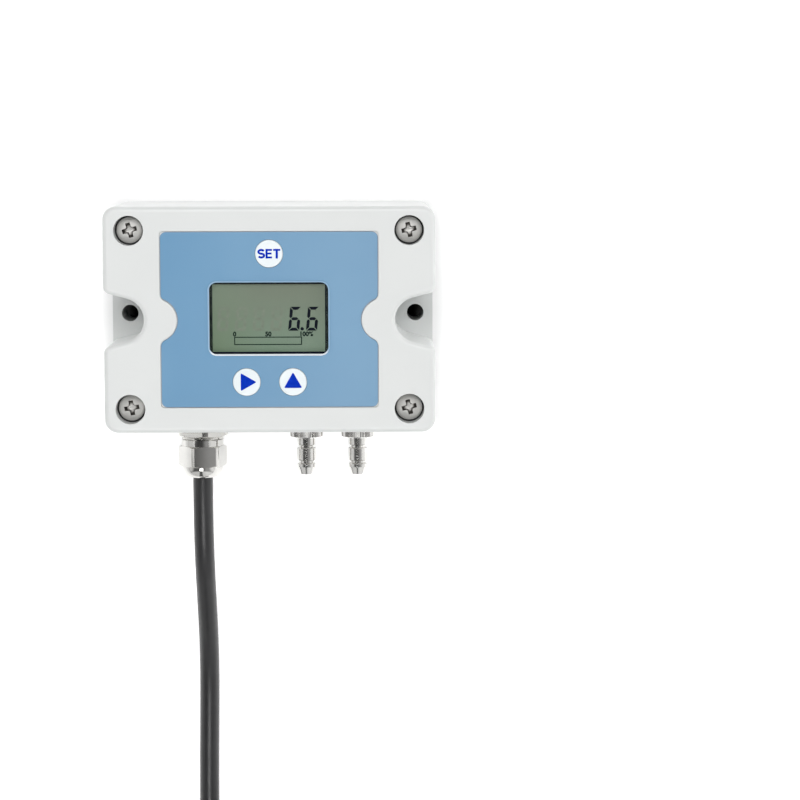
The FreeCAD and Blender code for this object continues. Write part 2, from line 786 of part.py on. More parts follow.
def make_nozzle(label, shift):
    """A turned hose nozzle: collar, neck, two ridges and a tapered tip outside, a spigot inside."""
    body = make_body(label)
    sketch = make_sketch(body, "XZ_Plane")
    bore, collar = "nozzle_bore / 2", "nozzle_collar / 2"
    groove, ridge = "nozzle_groove / 2", "nozzle_ridge / 2"
    shoulder = "-(wall + nozzle_nut_thickness + nozzle_thread_spare)"
    collar_end = "(nozzle_seal_thickness + nozzle_collar_length)"
    neck_stop = "(%s + nozzle_neck_length)" % collar_end
    ridge_start = "(%s + nozzle_groove_length)" % neck_stop
    ridge_stop = "(%s + nozzle_ridge_length)" % ridge_start
    tip_start = "(%s + nozzle_groove_length)" % ridge_stop
    tip_end = "(%s + nozzle_tip_length)" % tip_start
    draw_outline(sketch, [
        (bore, shoulder + " - spigot_length"), ("spigot / 2", shoulder + " - spigot_length"),
        ("spigot / 2", shoulder), ("nozzle_thread / 2", shoulder),
        ("nozzle_thread / 2", "nozzle_seal_thickness"),
        (collar + " - nozzle_collar_bevel", "nozzle_seal_thickness"),
        (collar, "nozzle_seal_thickness + nozzle_collar_bevel"),
        (collar, collar_end + " - nozzle_collar_bevel"),
        (collar + " - nozzle_collar_bevel", collar_end), ("nozzle_neck / 2", collar_end),
        ("nozzle_neck / 2", neck_stop + " - nozzle_slope"), (groove, neck_stop), (groove, ridge_start),
        (ridge, ridge_start + " + nozzle_slope"), (ridge, ridge_stop + " - nozzle_slope"),
        (groove, ridge_stop), (groove, tip_start), (ridge, tip_start + " + nozzle_slope"),
        (ridge, tip_start + " + nozzle_tip_land"), ("nozzle_tip / 2", tip_end), (bore, tip_end),
    ])
    revolve(body, sketch)
    turn_outwards(body, shift, port_height)


def make_ring(label, inside, outside, start, end):
    """A plain turned ring, from (inside, start) to (outside, end) in radius and height."""
    body = make_body(label)
    sketch = make_sketch(body, "XZ_Plane")
    draw_outline(sketch, [(inside, start), (outside, start), (outside, end), (inside, end)])
    revolve(body, sketch)
    return body


def make_hex_nut(label, flats, bore, start, thickness, turn="0"):
    body = make_body(label)
    sketch = make_sketch(body, "XY_Plane", start)
    draw_hexagon(sketch, flats, turn)
    draw_circle(sketch, "0", "0", bore)
    pad(body, sketch, thickness)
    return body


def pair_of(label, make_one):
    """One piece at each pressure port, as a group of two separate solids."""
    members = []
    for number, shift in enumerate((high_port, low_port)):
        body = make_one("%s_%d" % (label, number))
        turn_outwards(body, shift, port_height)
        members.append(body)
        del pieces[body.Label]
    group = document.addObject("Part::Compound", label)
    group.Label = label
    group.Links = members
    pieces[label] = group


def make_ports():
    make_nozzle("nozzle_high", high_port)
    make_nozzle("nozzle_low", low_port)
    pair_of("nozzle_seals", lambda label: make_ring(
        label, "nozzle_thread / 2 + thread_gap", "nozzle_seal / 2", "0", "nozzle_seal_thickness"))
    pair_of("nozzle_nuts", lambda label: make_hex_nut(
        label, "nozzle_nut", "nozzle_thread + 2 * thread_gap", "-wall - nozzle_nut_thickness",
        "nozzle_nut_thickness"))


def cut_flats(body, flats, start, height, turn):
    """Mills six flats on a turned piece: what lies outside the hexagon is cut away."""
    well_outside = "2 * " + flats
    sketch = make_sketch(body, "XY_Plane", start)
    draw_hexagon(sketch, flats, turn)
    draw_circle(sketch, "0", "0", well_outside)
    pocket(body, sketch, height, True)


def make_gland():
    body_corner = "gland_body_corners / 2"
    nut_corner = "gland_nut_corners / 2"
    bore = "gland_bore / 2"
    tail = "-(wall + locknut_thickness + gland_tail)"
    seat = "(%s - gland_seal_length)" % neck_end
    cup = "(cable_diameter / 2 + gland_seal_wall)"

    body = make_body("gland_body")
    sketch = make_sketch(body, "XZ_Plane")
    draw_outline(sketch, [
        (bore, tail), ("gland_thread / 2", tail), ("gland_thread / 2", "gland_gasket_thickness"),
        (body_corner, "gland_gasket_thickness"), (body_corner, gland_face + " - gland_bevel"),
        (body_corner + " - " + flats_bevel, gland_face), ("gland_neck / 2", gland_face),
        ("gland_neck / 2", neck_end), (cup, neck_end), (cup, seat), (bore, seat),
    ])
    revolve(body, sketch)
    cut_flats(body, "gland_body_flats", "gland_gasket_thickness", "gland_body_hexagon", "gland_body_turn")
    turn_outwards(body, gland_x, gland_height)

    body = make_body("gland_nut")
    sketch = make_sketch(body, "XZ_Plane")
    inside = "(gland_neck / 2 + thread_gap)"
    dome_rise = "(gland_dome / 2 - gland_dome_end / 2)"
    dome_round = "((pow(%s; 2) + pow(gland_dome_length; 2)) / (2 * %s))" % (dome_rise, dome_rise)
    draw_outline(sketch, [
        (inside, nut_face), ("gland_collar / 2", nut_face), ("gland_collar / 2", hexagon_face),
        (nut_corner + " - " + flats_bevel, hexagon_face), (nut_corner, hexagon_face + " + gland_bevel"),
        (nut_corner, dome_face + " - gland_bevel"), (nut_corner + " - " + flats_bevel, dome_face),
        ("gland_dome / 2", dome_face), ("gland_dome_end / 2", gland_reach, dome_round),
        ("gland_mouth / 2", gland_reach), ("gland_mouth / 2", gland_reach + " - gland_claw_lip"),
        (inside, neck_end),
    ])
    revolve(body, sketch)
    cut_flats(body, "gland_nut_flats", hexagon_face, "gland_nut_hexagon", "gland_nut_turn")
    turn_outwards(body, gland_x, gland_height)

    slim = "(cable_diameter / 2 + cable_fit)"
    seal = make_ring("gland_seal", slim, cup + " - thread_gap", seat, neck_end)
    turn_outwards(seal, gland_x, gland_height)
    claw = make_body("gland_claw")
    sketch = make_sketch(claw, "XZ_Plane")
    draw_outline(sketch, [
        (slim, neck_end), (inside + " - 2 * thread_gap", neck_end),
        ("gland_mouth / 2 - thread_gap", gland_reach + " - gland_claw_lip"),
        (slim, gland_reach + " - gland_claw_lip"),
    ])
    revolve(claw, sketch)
    turn_outwards(claw, gland_x, gland_height)
    gasket = make_ring("gland_gasket", "gland_thread / 2 + thread_gap", "gland_gasket / 2", "0",
                       "gland_gasket_thickness")
    turn_outwards(gasket, gland_x, gland_height)
    locknut = make_hex_nut("gland_locknut", "locknut_flats", "gland_thread + 2 * thread_gap",
                           "-wall - locknut_thickness", "locknut_thickness")
    turn_outwards(locknut, gland_x, gland_height)


def make_sensor():
    """The differential pressure sensor on the main board, one spigot for each nozzle."""
    body = make_body("pressure_sensor")
    front = "(sensor_setback - sensor_width / 2)"
    sketch = make_sketch(body, "XY_Plane", main_board_top)
    draw_rectangle(sketch, "sensor_length", "sensor_width", sensor_x, "sensor_setback")
    pad(body, sketch, "sensor_body")
    sketch = make_sketch(body, "XZ_Plane", "-" + front)
    for shift in (high_port, low_port):
        draw_circle(sketch, shift, main_board_top + " + sensor_port_height", "spigot")
    pad(body, sketch, "sensor_port_length")
    sketch = make_sketch(body, "XZ_Plane", "sensor_port_length - " + front)
    for shift in (high_port, low_port):
        draw_circle(sketch, shift, main_board_top + " + sensor_port_height", "nozzle_bore")
    pocket(body, sketch, "sensor_port_length")


core_count = 4


def make_terminals():
    """A terminal block with a round wire entry in front and a screw on top for each core."""
    body = make_body("terminal_block")
    top = "(%s + terminal_block_height)" % main_board_top
    middle = "(terminal_setback + terminal_width / 2)"
    sketch = make_sketch(body, "XY_Plane", main_board_top)
    draw_rectangle(sketch, "%d * terminal_pitch" % core_count, "terminal_width", gland_x, middle)
    pad(body, sketch, "terminal_block_height")
    entries = make_sketch(body, "XZ_Plane", "-terminal_setback")
    for step in range(core_count):
        draw_circle(entries, core_shift(step), main_board_top + " + terminal_entry_height", "terminal_entry")
    pocket(body, entries, "terminal_entry_depth")
    screws = make_sketch(body, "XY_Plane", top)
    for step in range(core_count):
        draw_circle(screws, core_shift(step), middle, "terminal_screw")
    pocket(body, screws, "terminal_screw_depth")


def core_shift(step):
    return "(%s + (%g) * terminal_pitch)" % (gland_x, step - (core_count - 1) / 2)


# Share of the shorter run beside a bend that its arc takes up
arc_share = 0.45


def bend(points):
    """Straight runs joined by tangent arcs, each as large as its two runs allow, and the arcs' radii."""
    edges, radii = [], []
    here = points[0]
    for before, corner, after in zip(points, points[1:], points[2:]):
        back, onward = before - corner, after - corner
        setback = arc_share * min(back.Length, onward.Length)
        half_turn = (math.pi - back.getAngle(onward)) / 2
        radius = setback / math.tan(half_turn)
        back.normalize()
        onward.normalize()
        inwards = (back + onward).normalize()
        start, end = corner + back * setback, corner + onward * setback
        middle = corner + inwards * (math.hypot(radius, setback) - radius)
        edges += [Part.LineSegment(here, start).toShape(), Part.Arc(start, middle, end).toShape()]
        radii.append(radius)
        here = end
    edges.append(Part.LineSegment(here, points[-1]).toShape())
    return Part.Wire(edges), radii


def sweep(points, radius):
    """A round bar along a bent path."""
    path, radii = bend(points)
    profile = Part.Wire(Part.makeCircle(radius, points[0], points[1] - points[0]))
    return path.makePipeShell([profile], True, True), path.Length, radii


def place(label, shape):
    feature = document.addObject("Part::Feature", label)
    feature.Label = label
    feature.Shape = shape
    pieces[label] = feature
    return feature


def make_tubes():
    """Silicone tubes from the nozzles' spigots down to the sensor's, straight where a spigot is inside."""
    high = value(port_height)
    low = value(main_board_top + " + sensor_port_height")
    start = value("-case_width / 2 + wall + nozzle_nut_thickness + nozzle_thread_spare + tube_clear")
    end = value("sensor_setback - sensor_width / 2 - tube_clear")
    straight = 1 - arc_share
    first_leg = value("spigot_length - tube_clear") / straight
    last_leg = value("sensor_port_length - tube_clear") / straight
    inner = value("spigot / 2 + tube_gap")
    for label, shift in (("tube_high", high_port), ("tube_low", low_port)):
        x = value(shift)
        route = [Vector(x, start, high), Vector(x, start + first_leg, high), Vector(x, end - last_leg, low),
                 Vector(x, end, low)]
        outside = sweep(route, inner + value("tube_wall"))[0]
        inside = sweep(route, inner)[0]
        place(label, outside.cut(inside))


def make_cable_inside():
    """The cable's stretch through the gland, and its four cores down to the terminals."""
    cable = make_ring("cable_inside", "0", "cable_diameter / 2",
                      "-(wall + cable_inside)", gland_reach)
    turn_outwards(cable, gland_x, gland_height)
    sheath_end = value("-case_width / 2 + wall + cable_inside")
    height = value(gland_height)
    spread_start, spread_end = 0.25, 0.62
    entry = Vector(0, value("terminal_setback + terminal_entry_depth / 2"),
                   value(main_board_top + " + terminal_entry_height"))
    cores = []
    for step in range(core_count):
        x = value(gland_x) + value("core_pitch") * (step % 2 - 0.5)
        z = height + value("core_pitch") * (step // 2 - 0.5)
        entry.x = value(core_shift(step))
        gap = entry.y - sheath_end
        route = [Vector(x, sheath_end, z), Vector(x, sheath_end + gap * spread_start, z),
                 Vector(entry.x, sheath_end + gap * spread_end, entry.z), Vector(entry)]
        cores.append(sweep(route, value("core_diameter / 2"))[0])
    place("cable_cores", Part.makeCompound(cores))


# The cable's way from the gland's mouth to its coil, and from the coil to its end: X, Y and height
cable_route = [
    (-21.9, -63.0, 24.5),
    (-21.8, -77.0, 22.2),
    (-21.6, -92.0, 15.6),
    (-21.5, -107.0, 8.2),
    (-21.7, -123.0, 4.0),
    (-22.1, -143.0, 3.1),
    (-22.3, -166.0, 3.2),
]
tail_points = [
    (-21.9, -221.0, 9.5),
    (-22.3, -233.5, 6.3),
    (-23.2, -246.0, 3.2),
]


def make_cable():
    """The free cable: a lead down to the surface and along it, a tied coil, and a short end beside it."""
    radius = value("cable_diameter / 2")
    left = value(gland_x)
    beside = -value("coil_drop")
    mouth = Vector(left, -value("case_width / 2 + " + gland_reach), value(gland_height))
    low_turn = Vector(left, beside, radius + value("tie_thickness"))
    high_turn = low_turn + Vector(0, 0, 2 * radius)
    route = [mouth] + [Vector(*point) for point in cable_route] + [low_turn]
    tail_route = [high_turn] + [Vector(*point) for point in tail_points]
    for label, points in (("cable_lead", route), ("cable_tail", tail_route)):
        tube, length, radii = sweep(points, radius)
        place(label, tube)
        print("%s: %.1f mm, radii %s" % (label, length, " ".join("%.0f" % each for each in radii)))
        print("volume against section times length: %.4f" % (tube.Volume / (math.pi * radius ** 2 * length)))

    coil = make_body("cable_coil")
    sketch = make_sketch(coil, "XZ_Plane")
    bundle, level = "2 * cable_diameter", "tie_thickness + cable_diameter"
    draw_rectangle(sketch, bundle, bundle, "coil_middle / 2", level, "cable_diameter / 2")
    revolve(coil, sketch)
    strap = make_body("cable_tie")
    sketch = make_sketch(strap, "XZ_Plane", "-tie_width / 2")
    for gap in ("tie_gap", "tie_thickness"):
        side = "%s + 2 * %s" % (bundle, gap)
        draw_rectangle(sketch, side, side, "coil_middle / 2", level)
    pad(strap, sketch, "tie_width")
    for body in (coil, strap):
        body.setExpression("Placement.Base.x", bound(gland_x + " + coil_middle / 2 + cable_diameter / 2"))
        body.setExpression("Placement.Base.y", bound("-coil_drop"))


def make_core_ends():
    """The four cores past the sheath's end, fanned out on the surface, each with a crimped ferrule."""
    end, before = Vector(*tail_points[-1]), Vector(*tail_points[-2])
    along = (end - before).normalize()
    ahead = Vector(along.x, along.y, 0).normalize()
    aside = Vector(-ahead.y, ahead.x, 0)
    upward = along.cross(aside)
    pitch, gap = value("core_pitch"), value("core_gap")
    core, ferrule = value("core_diameter / 2"), value("ferrule_diameter / 2")
    cores, ferrules = [], []
    for step in range(core_count):
        start = end + along * gap + aside * pitch * (step % 2 - 0.5) + upward * pitch * (step // 2 - 0.5)
        spread = value("core_fan") * (2 * (step % 2) + step // 2 - (core_count - 1) / 2)
        finish = end + ahead * value("core_tail") + aside * spread
        finish.z = ferrule
        way = (finish - start).normalize()
        cores.append(Part.makeCylinder(core, (finish - start).Length, start, way))
        flat = Vector(way.x, way.y, 0).normalize()
        ferrules.append(Part.makeCylinder(ferrule, value("ferrule_length"), finish + flat * gap, flat))
    place("core_ends", Part.makeCompound(cores))
    place("core_ferrules", Part.makeCompound(ferrules))


def check_and_write():
    """Stops at any failed or empty object, then writes each piece to its own file."""
    document.recompute()
    for item in document.Objects:
        if "Invalid" in item.State or "Error" in item.State:
            raise ValueError("%s is %s" % (item.Label, item.State))
    os.makedirs("parts", exist_ok=True)
    for label, piece in pieces.items():
        shape = piece.Shape
        if shape.isNull() or not shape.isValid() or not shape.Solids:
            raise ValueError(label + " has no valid solid")
        shape.exportStep(os.path.join("parts", label + ".step"))
    print("%d pieces, %d solids" % (len(pieces), sum(len(piece.Shape.Solids) for piece in pieces.values())))


make_case_base()
make_case_lid()
make_lid_gasket()
make_lid_screws()
make_lid_inserts()
make_front_label()
make_display()
make_board("display_board", display_board_x, display_board_y, board_top + " - board_thickness",
           display_hole_x, display_hole_y)
make_board_screws("display_board_screws", board_top + " - board_thickness", display_hole_x,
                  display_hole_y, True)
for key_label in key_places:
    make_key(key_label)
make_plunger("plunger_set", "key_set")
make_plunger("plunger_shift", "key_shift")
make_plunger("plunger_up", "key_up")
make_switches()
make_board("main_board", main_board_x, main_board_y, "floor_thickness + main_post_height",
           main_hole_x, main_hole_y)
make_board_screws("main_board_screws", main_board_top, main_hole_x, main_hole_y, False)
make_ribbon()
make_ports()
make_gland()
make_sensor()
make_terminals()
make_tubes()
make_cable_inside()
make_cable()
make_core_ends()
check_and_write()
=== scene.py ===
import bpy
import json
import math
from mathutils import Matrix, Vector


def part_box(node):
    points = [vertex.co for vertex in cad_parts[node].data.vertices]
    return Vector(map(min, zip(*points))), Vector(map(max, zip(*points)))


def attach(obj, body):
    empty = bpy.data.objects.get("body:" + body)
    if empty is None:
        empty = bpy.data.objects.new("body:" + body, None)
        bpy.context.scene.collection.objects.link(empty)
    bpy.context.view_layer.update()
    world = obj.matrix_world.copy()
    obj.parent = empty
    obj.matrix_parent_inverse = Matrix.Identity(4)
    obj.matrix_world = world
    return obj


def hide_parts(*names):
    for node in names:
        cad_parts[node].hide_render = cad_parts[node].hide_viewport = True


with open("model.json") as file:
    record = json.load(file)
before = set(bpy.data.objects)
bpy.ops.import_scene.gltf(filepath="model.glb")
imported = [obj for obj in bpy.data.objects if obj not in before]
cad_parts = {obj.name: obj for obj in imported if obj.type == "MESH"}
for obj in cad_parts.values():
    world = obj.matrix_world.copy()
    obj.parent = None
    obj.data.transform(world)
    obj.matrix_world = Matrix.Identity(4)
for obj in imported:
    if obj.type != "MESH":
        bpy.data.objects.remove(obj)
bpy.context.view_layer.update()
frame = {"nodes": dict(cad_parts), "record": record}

nodes = frame["nodes"]
mm = 0.001               # the pieces' dictionaries are in millimetres
mmPerMetre = 1000


# a colour as a picture editor gives it, 0 to 255, turned into light values
def tint(red, green, blue):
    values = [channel / 255 for channel in (red, green, blue)]
    return tuple(v / 12.92 if v <= 0.04045 else ((v + 0.055) / 1.055) ** 2.4 for v in values)


# one socket of a material, so that sums on it become Math nodes
class Strand:
    def __init__(self, finish, socket):
        self.finish = finish
        self.socket = socket

    def __add__(self, other):
        return self.finish.math("ADD", self, other)

    def __radd__(self, other):
        return self.finish.math("ADD", other, self)

    def __sub__(self, other):
        return self.finish.math("SUBTRACT", self, other)

    def __rsub__(self, other):
        return self.finish.math("SUBTRACT", other, self)

    def __mul__(self, other):
        return self.finish.math("MULTIPLY", self, other)

    def __rmul__(self, other):
        return self.finish.math("MULTIPLY", other, self)


# a node material being built, or the sky's nodes
class Finish:
    def __init__(self, name, owner=None, place="Object"):
        self.material = owner or bpy.data.materials.new(name)
        self.material.use_nodes = True
        self.material.node_tree.nodes.clear()
        self.place = self.node("ShaderNodeTexCoord", output=place)

    def node(self, kind, settings=None, inputs=None, output=0):
        made = self.material.node_tree.nodes.new(kind)
        for name, setting in (settings or {}).items():
            if name == "stops":
                for number, (position, colour) in enumerate(setting):
                    elements = made.color_ramp.elements
                    element = elements[number] if number < 2 else elements.new(position)
                    element.position = position
                    element.color = (*colour, 1)
            else:
                setattr(made, name, setting)
        for name, given in (inputs or {}).items():
            if isinstance(given, Strand):
                self.material.node_tree.links.new(given.socket, made.inputs[name])
            else:
                made.inputs[name].default_value = given
        return Strand(self, made.outputs[output]) if made.outputs else None

    def math(self, operation, *values):
        return self.node("ShaderNodeMath", {"operation": operation}, dict(enumerate(values)))

    def axis(self, name):
        return self.node("ShaderNodeSeparateXYZ", inputs={0: self.place}, output=name)

    def stretched(self, scale):
        return self.node("ShaderNodeMapping", inputs={"Vector": self.place, "Scale": scale})

    def noise(self, scale, detail=3, vector=None):
        return self.node("ShaderNodeTexNoise", inputs={
            "Vector": vector or self.place, "Scale": scale, "Detail": detail})

    def smooth(self, value, low, high, start=0.0, end=1.0):
        return self.node("ShaderNodeMapRange", {"interpolation_type": "SMOOTHSTEP"},
                         {0: value, 1: low, 2: high, 3: start, 4: end})

    # soft patches: a noise stretched over its middle range, from a start value to an end value
    def patches(self, scale, detail=3, start=0.0, end=1.0, low=0.3, high=0.7):
        return self.smooth(self.noise(scale, detail), low, high, start, end)

    # 6 and 7 are the Mix node's two colours, and its output 2 is the mixed one
    def blend(self, share, first, second):
        given = {0: share}
        for number, colour in ((6, first), (7, second)):
            given[number] = colour if isinstance(colour, Strand) else (*colour, 1)
        return self.node("ShaderNodeMix", {"data_type": "RGBA"}, given, output=2)

    def bump(self, height, distance, strength=1.0):
        inputs = {"Height": height, "Distance": distance, "Strength": strength}
        return self.node("ShaderNodeBump", inputs=inputs)

    def surface(self, colour, roughness, normal=None, **fixed):
        base = colour if isinstance(colour, Strand) else (*colour, 1)
        inputs = {"Base Color": base, "Roughness": roughness}
        if normal is not None:
            inputs["Normal"] = normal
        inputs.update({name.replace("_", " "): given for name, given in fixed.items()})
        shader = self.node("ShaderNodeBsdfPrincipled", inputs=inputs)
        self.node("ShaderNodeOutputMaterial", inputs={"Surface": shader})
        return self.material


# a colour made darker or lighter all over
def shaded(colour, factor, lift=0.0):
    return tuple(min(1, channel * factor + lift) for channel in colour)


# moulded plastic: faint flow marks and a fine spark eroded grain
def mouldedPlastic(name, colour, shade=0.97, roughness=0.34, grain=5200, depth=0.000012):
    f = Finish(name)
    flow = f.patches(45, 2, low=0.35, high=0.68)
    skin = f.noise(grain, 2)
    rough = f.patches(160, 3, roughness - 0.01, roughness + 0.015)
    return f.surface(f.blend(flow, shaded(colour, shade), colour), rough, f.bump(skin, depth, 0.35))


# printed film: a satin face with a very fine texture
filmGrain = {"scale": 7000, "depth": 0.000008}
# the label's print: it has round corners, and a grey line along its edge that is painted shade, where the
# label sits in its recess in the lid
film = {
    "halfLength": 32.8, "halfWidth": 26.55, "rise": 0.1, "corner": 1.9, "bayMiddle": 34.3, "bayRadius": 6.6,
    "edge": (0.08, 0.26), "soft": 0.04, "fadeFrom": -33, "fadeTo": 33,
    "left": ((97, 143, 178), (103, 148, 182)), "right": ((111, 150, 181), (116, 155, 185)),
    "line": (128, 143, 162), "bare": (214, 216, 215),
}


def blueFilm(name):
    f = Finish(name)
    across = f.math("ABSOLUTE", f.axis("X"))
    up = f.axis("Y") - film["rise"] * mm
    pastX = f.math("MAXIMUM", across - (film["halfLength"] - film["corner"]) * mm, 0)
    pastY = f.math("MAXIMUM", f.math("ABSOLUTE", up) - (film["halfWidth"] - film["corner"]) * mm, 0)
    ends = film["corner"] * mm - f.math("SQRT", pastX * pastX + pastY * pastY)
    fromBay = across - film["bayMiddle"] * mm
    bay = f.math("SQRT", fromBay * fromBay + up * up) - film["bayRadius"] * mm
    nearest = f.math("MINIMUM", ends, f.math("ABSOLUTE", bay))
    # the grey line along the edge is painted shade of the recess round the label
    edge = f.smooth(nearest, *(value * mm for value in film["edge"]))
    cloud = f.patches(22, 2)
    side = f.smooth(f.axis("X"), film["fadeFrom"] * mm, film["fadeTo"] * mm)
    left, right = (f.blend(cloud, *(tint(*shade) for shade in film[half])) for half in ("left", "right"))
    printWithEdgeShade = f.blend(edge, tint(*film["line"]), f.blend(side, left, right))
    inside = f.smooth(ends, -film["soft"] * mm, film["soft"] * mm)
    grain = f.noise(filmGrain["scale"], 2)
    rough = f.patches(300, 2, 0.36, 0.46)
    return f.surface(f.blend(inside, tint(*film["bare"]), printWithEdgeShade), rough,
                     f.bump(grain, filmGrain["depth"], 0.4))


# the line pressed into the film round the window, painted whiter along its lower side, a painted highlight
def trimWithHighlight(name):
    f = Finish(name)
    low = f.smooth(f.axis("Y"), -10.4 * mm, -8.8 * mm)
    skin = f.noise(filmGrain["scale"], 2)
    # the white along the lower side is a painted highlight
    colour = f.blend(low, tint(232, 237, 242), tint(146, 180, 208))
    return f.surface(colour, 0.34, f.bump(skin, filmGrain["depth"], 0.3))


def keyFilm(name):
    f = Finish(name)
    colour = f.blend(f.patches(90, 2), tint(221, 229, 231), tint(228, 234, 237))
    skin = f.noise(filmGrain["scale"], 2)
    return f.surface(colour, 0.4, f.bump(skin, filmGrain["depth"], 0.35))


def clearPane(name):
    f = Finish(name)
    smear = f.patches(70, 3, 0.04, 0.1, 0.4, 0.8)
    return f.surface(tint(46, 50, 50), smear, Alpha=0.1, Specular_IOR_Level=0.5)


# the display's grey green, warmer at the top and deeper on the left; it glows a little, a painted light that
# lifts the shade cast on it by the window's rim
glassTones = {
    "low": ((113, 136, 115), (120, 139, 121)), "high": (117, 127, 111), "leftLow": (108, 128, 103),
    "leftHigh": (118, 133, 114), "upward": (-10, 11), "across": (-18, 0), "paintedGlow": 0.32,
}


def lcdGlass(name):
    f = Finish(name)
    rise = f.smooth(f.axis("Y"), *(value * mm for value in glassTones["upward"]))
    side = f.smooth(f.axis("X"), *(value * mm for value in glassTones["across"]))
    low = f.blend(f.patches(60, 2), *(tint(*shade) for shade in glassTones["low"]))
    body = f.blend(rise, low, tint(*glassTones["high"]))
    left = f.blend(rise, tint(*glassTones["leftLow"]), tint(*glassTones["leftHigh"]))
    colour = f.blend(side, left, body)
    # the emission is a painted glow that lifts the shade cast by the window's rim
    return f.surface(colour, 0.3, f.bump(f.noise(9000, 2), 0.000004, 0.3),
                     Emission_Color=colour, Emission_Strength=glassTones["paintedGlow"])


def ink(name, colour, roughness=0.4):
    f = Finish(name)
    mottled = f.blend(f.patches(900), colour, shaded(colour, 1.18, 0.002))
    return f.surface(mottled, roughness, f.bump(f.noise(9000, 2), 0.000003, 0.3), Specular_IOR_Level=0.04)


# turned metal: tool rings round the axis that runs along the given way, and shallow dents
def turnedMetal(name, colour, way, roughness=0.2, ring=5200, tarnish=0.93, dents=1.5, between=40):
    f = Finish(name)
    lines = [between] * 3
    lines[way] = ring
    rings = f.noise(1, 2, f.stretched(lines))
    tarnished = f.blend(f.patches(260), shaded(colour, tarnish), colour)
    rough = f.smooth(rings, 0.3, 0.7, roughness - 0.05, roughness + 0.08)
    waves = rings * 0.2 + f.noise(220, 1) * dents
    return f.surface(tarnished, rough, f.bump(waves, 0.00001, 0.5), Metallic=1.0)


screwInset = 4.0         # from the edge of the four screws' box to a screw's axis


# the driver's cross: dull, and painted dark in its arms, a painted shade for the deep recess; brighter on the
# cone in its middle
def recessShadeMetal(name, colour, middle, reach=(0.6, 2.2)):
    f = Finish(name)
    low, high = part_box("lid_screws")
    offsets = []
    for letter, start, end in (("X", low.x, high.x), ("Y", low.y, high.y)):
        fromMiddle = f.math("ABSOLUTE", f.axis(letter) - (start + end) / 2) * mmPerMetre
        offsets.append(fromMiddle - ((end - start) / 2 / mm - screwInset))
    across, along = offsets
    # the dark arms are painted shade of the deep cross
    centre = f.smooth(across * across + along * along, *reach)
    return f.surface(f.blend(centre, middle, colour), f.patches(400, 2, 0.4, 0.5), Metallic=1.0)


# polished hexagon: the face towards the viewer is a little crowned from side to side
def polishedNut(name, colour, tarnish=0.94, crown=0.015, aside=-1.3, ripple=0.012):
    f = Finish(name)
    low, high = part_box("gland_nut")
    across = (f.axis("X") - ((low.x + high.x) / 2 + aside * mm)) * mmPerMetre
    tarnished = f.blend(f.patches(260), shaded(colour, tarnish), colour)
    rough = f.patches(400, 3, 0.07, 0.13)
    shape = across * across * -crown + f.noise(220, 1) * ripple
    return f.surface(tarnished, rough, f.bump(shape, mm), Metallic=1.0)


def rubber(name, colour):
    f = Finish(name)
    bloomed = f.blend(f.patches(240, 4, low=0.35), colour, shaded(colour, 1.3, 0.003))
    return f.surface(bloomed, 0.55, f.bump(f.noise(2600, 3), 0.00002, 0.4))


def circuitBoard(name):
    f = Finish(name)
    weave = f.node("ShaderNodeTexWave", {"wave_type": "BANDS", "bands_direction": "X"},
                   {"Vector": f.place, "Scale": 320.0, "Distortion": 2.0, "Detail": 1.0})
    tracks = f.node("ShaderNodeTexBrick", {"offset": 0.4},
                    {"Vector": f.place, "Scale": 210.0, "Mortar Size": 0.03, "Color1": (0, 0, 0, 1),
                     "Color2": (0.2, 0.2, 0.2, 1), "Mortar": (1, 1, 1, 1)}, output="Fac")
    base = f.blend(weave * 0.25, tint(18, 92, 58), tint(28, 112, 70))
    colour = f.blend(tracks * 0.6, base, tint(66, 140, 88))
    return f.surface(colour, 0.32, f.bump(tracks, 0.00002, 0.4))


def clearSilicone(name):
    f = Finish(name)
    colour = f.blend(f.patches(200), tint(214, 220, 220), tint(232, 236, 234))
    return f.surface(colour, 0.3, f.bump(f.noise(900, 3), 0.00002, 0.3), Alpha=0.62)


def cableJacket(name):
    f = Finish(name)
    colour = f.blend(f.patches(120, 4, low=0.4, high=0.75), tint(20, 20, 22), tint(28, 28, 30))
    skin = f.noise(2600, 3)
    rough = f.patches(500, 3, 0.36, 0.42)
    return f.surface(colour, rough, f.bump(skin, 0.00002, 0.25), Specular_IOR_Level=0.65)


print("finishes")
finishes = {
    "enclosure": mouldedPlastic("moulded_case", tint(214, 216, 215), 0.985),
    "blue_film": blueFilm("blue_film"),
    "key_white": keyFilm("key_film"),
    "clear_pane": clearPane("clear_pane"),
    "lcd_glass": lcdGlass("lcd_glass"),
    "white_plastic": mouldedPlastic("white_plastic", tint(206, 214, 220), 0.96, 0.4),
    "dark_plastic": mouldedPlastic("dark_plastic", tint(9, 15, 27), 0.85, 0.42),
    "circuit_board": circuitBoard("circuit_board"),
    "ribbon_grey": mouldedPlastic("ribbon_grey", tint(168, 170, 172), 0.9, 0.5),
    "terminal_green": mouldedPlastic("terminal_green", tint(46, 130, 72), 0.92, 0.4),
    "clear_silicone": clearSilicone("clear_silicone"),
    "stainless": turnedMetal("stainless", tint(224, 223, 220), 1, 0.14, 3000, dents=0.3),
    "nickel": turnedMetal("bright_nickel", tint(211, 210, 206), 1, 0.1, 3000, dents=0.5),
    "brass": turnedMetal("brass", tint(206, 172, 96), 2, 0.25),
    "black_rubber": rubber("black_rubber", tint(24, 24, 25)),
    "cable_black": cableJacket("cable_jacket"),
    "core_grey": mouldedPlastic("core_grey", tint(150, 152, 156), 0.9, 0.45),
}
screwSteel = turnedMetal("screw_steel", tint(201, 200, 197), 2, 0.6, 1500)
recessShadeSteel = recessShadeMetal("recess_shade_steel", tint(100, 98, 94), tint(168, 167, 164))
trimFilmHighlight = trimWithHighlight("trim_film_highlight")
bezelInk = ink("bezel_ink", tint(1, 9, 32), 0.6)
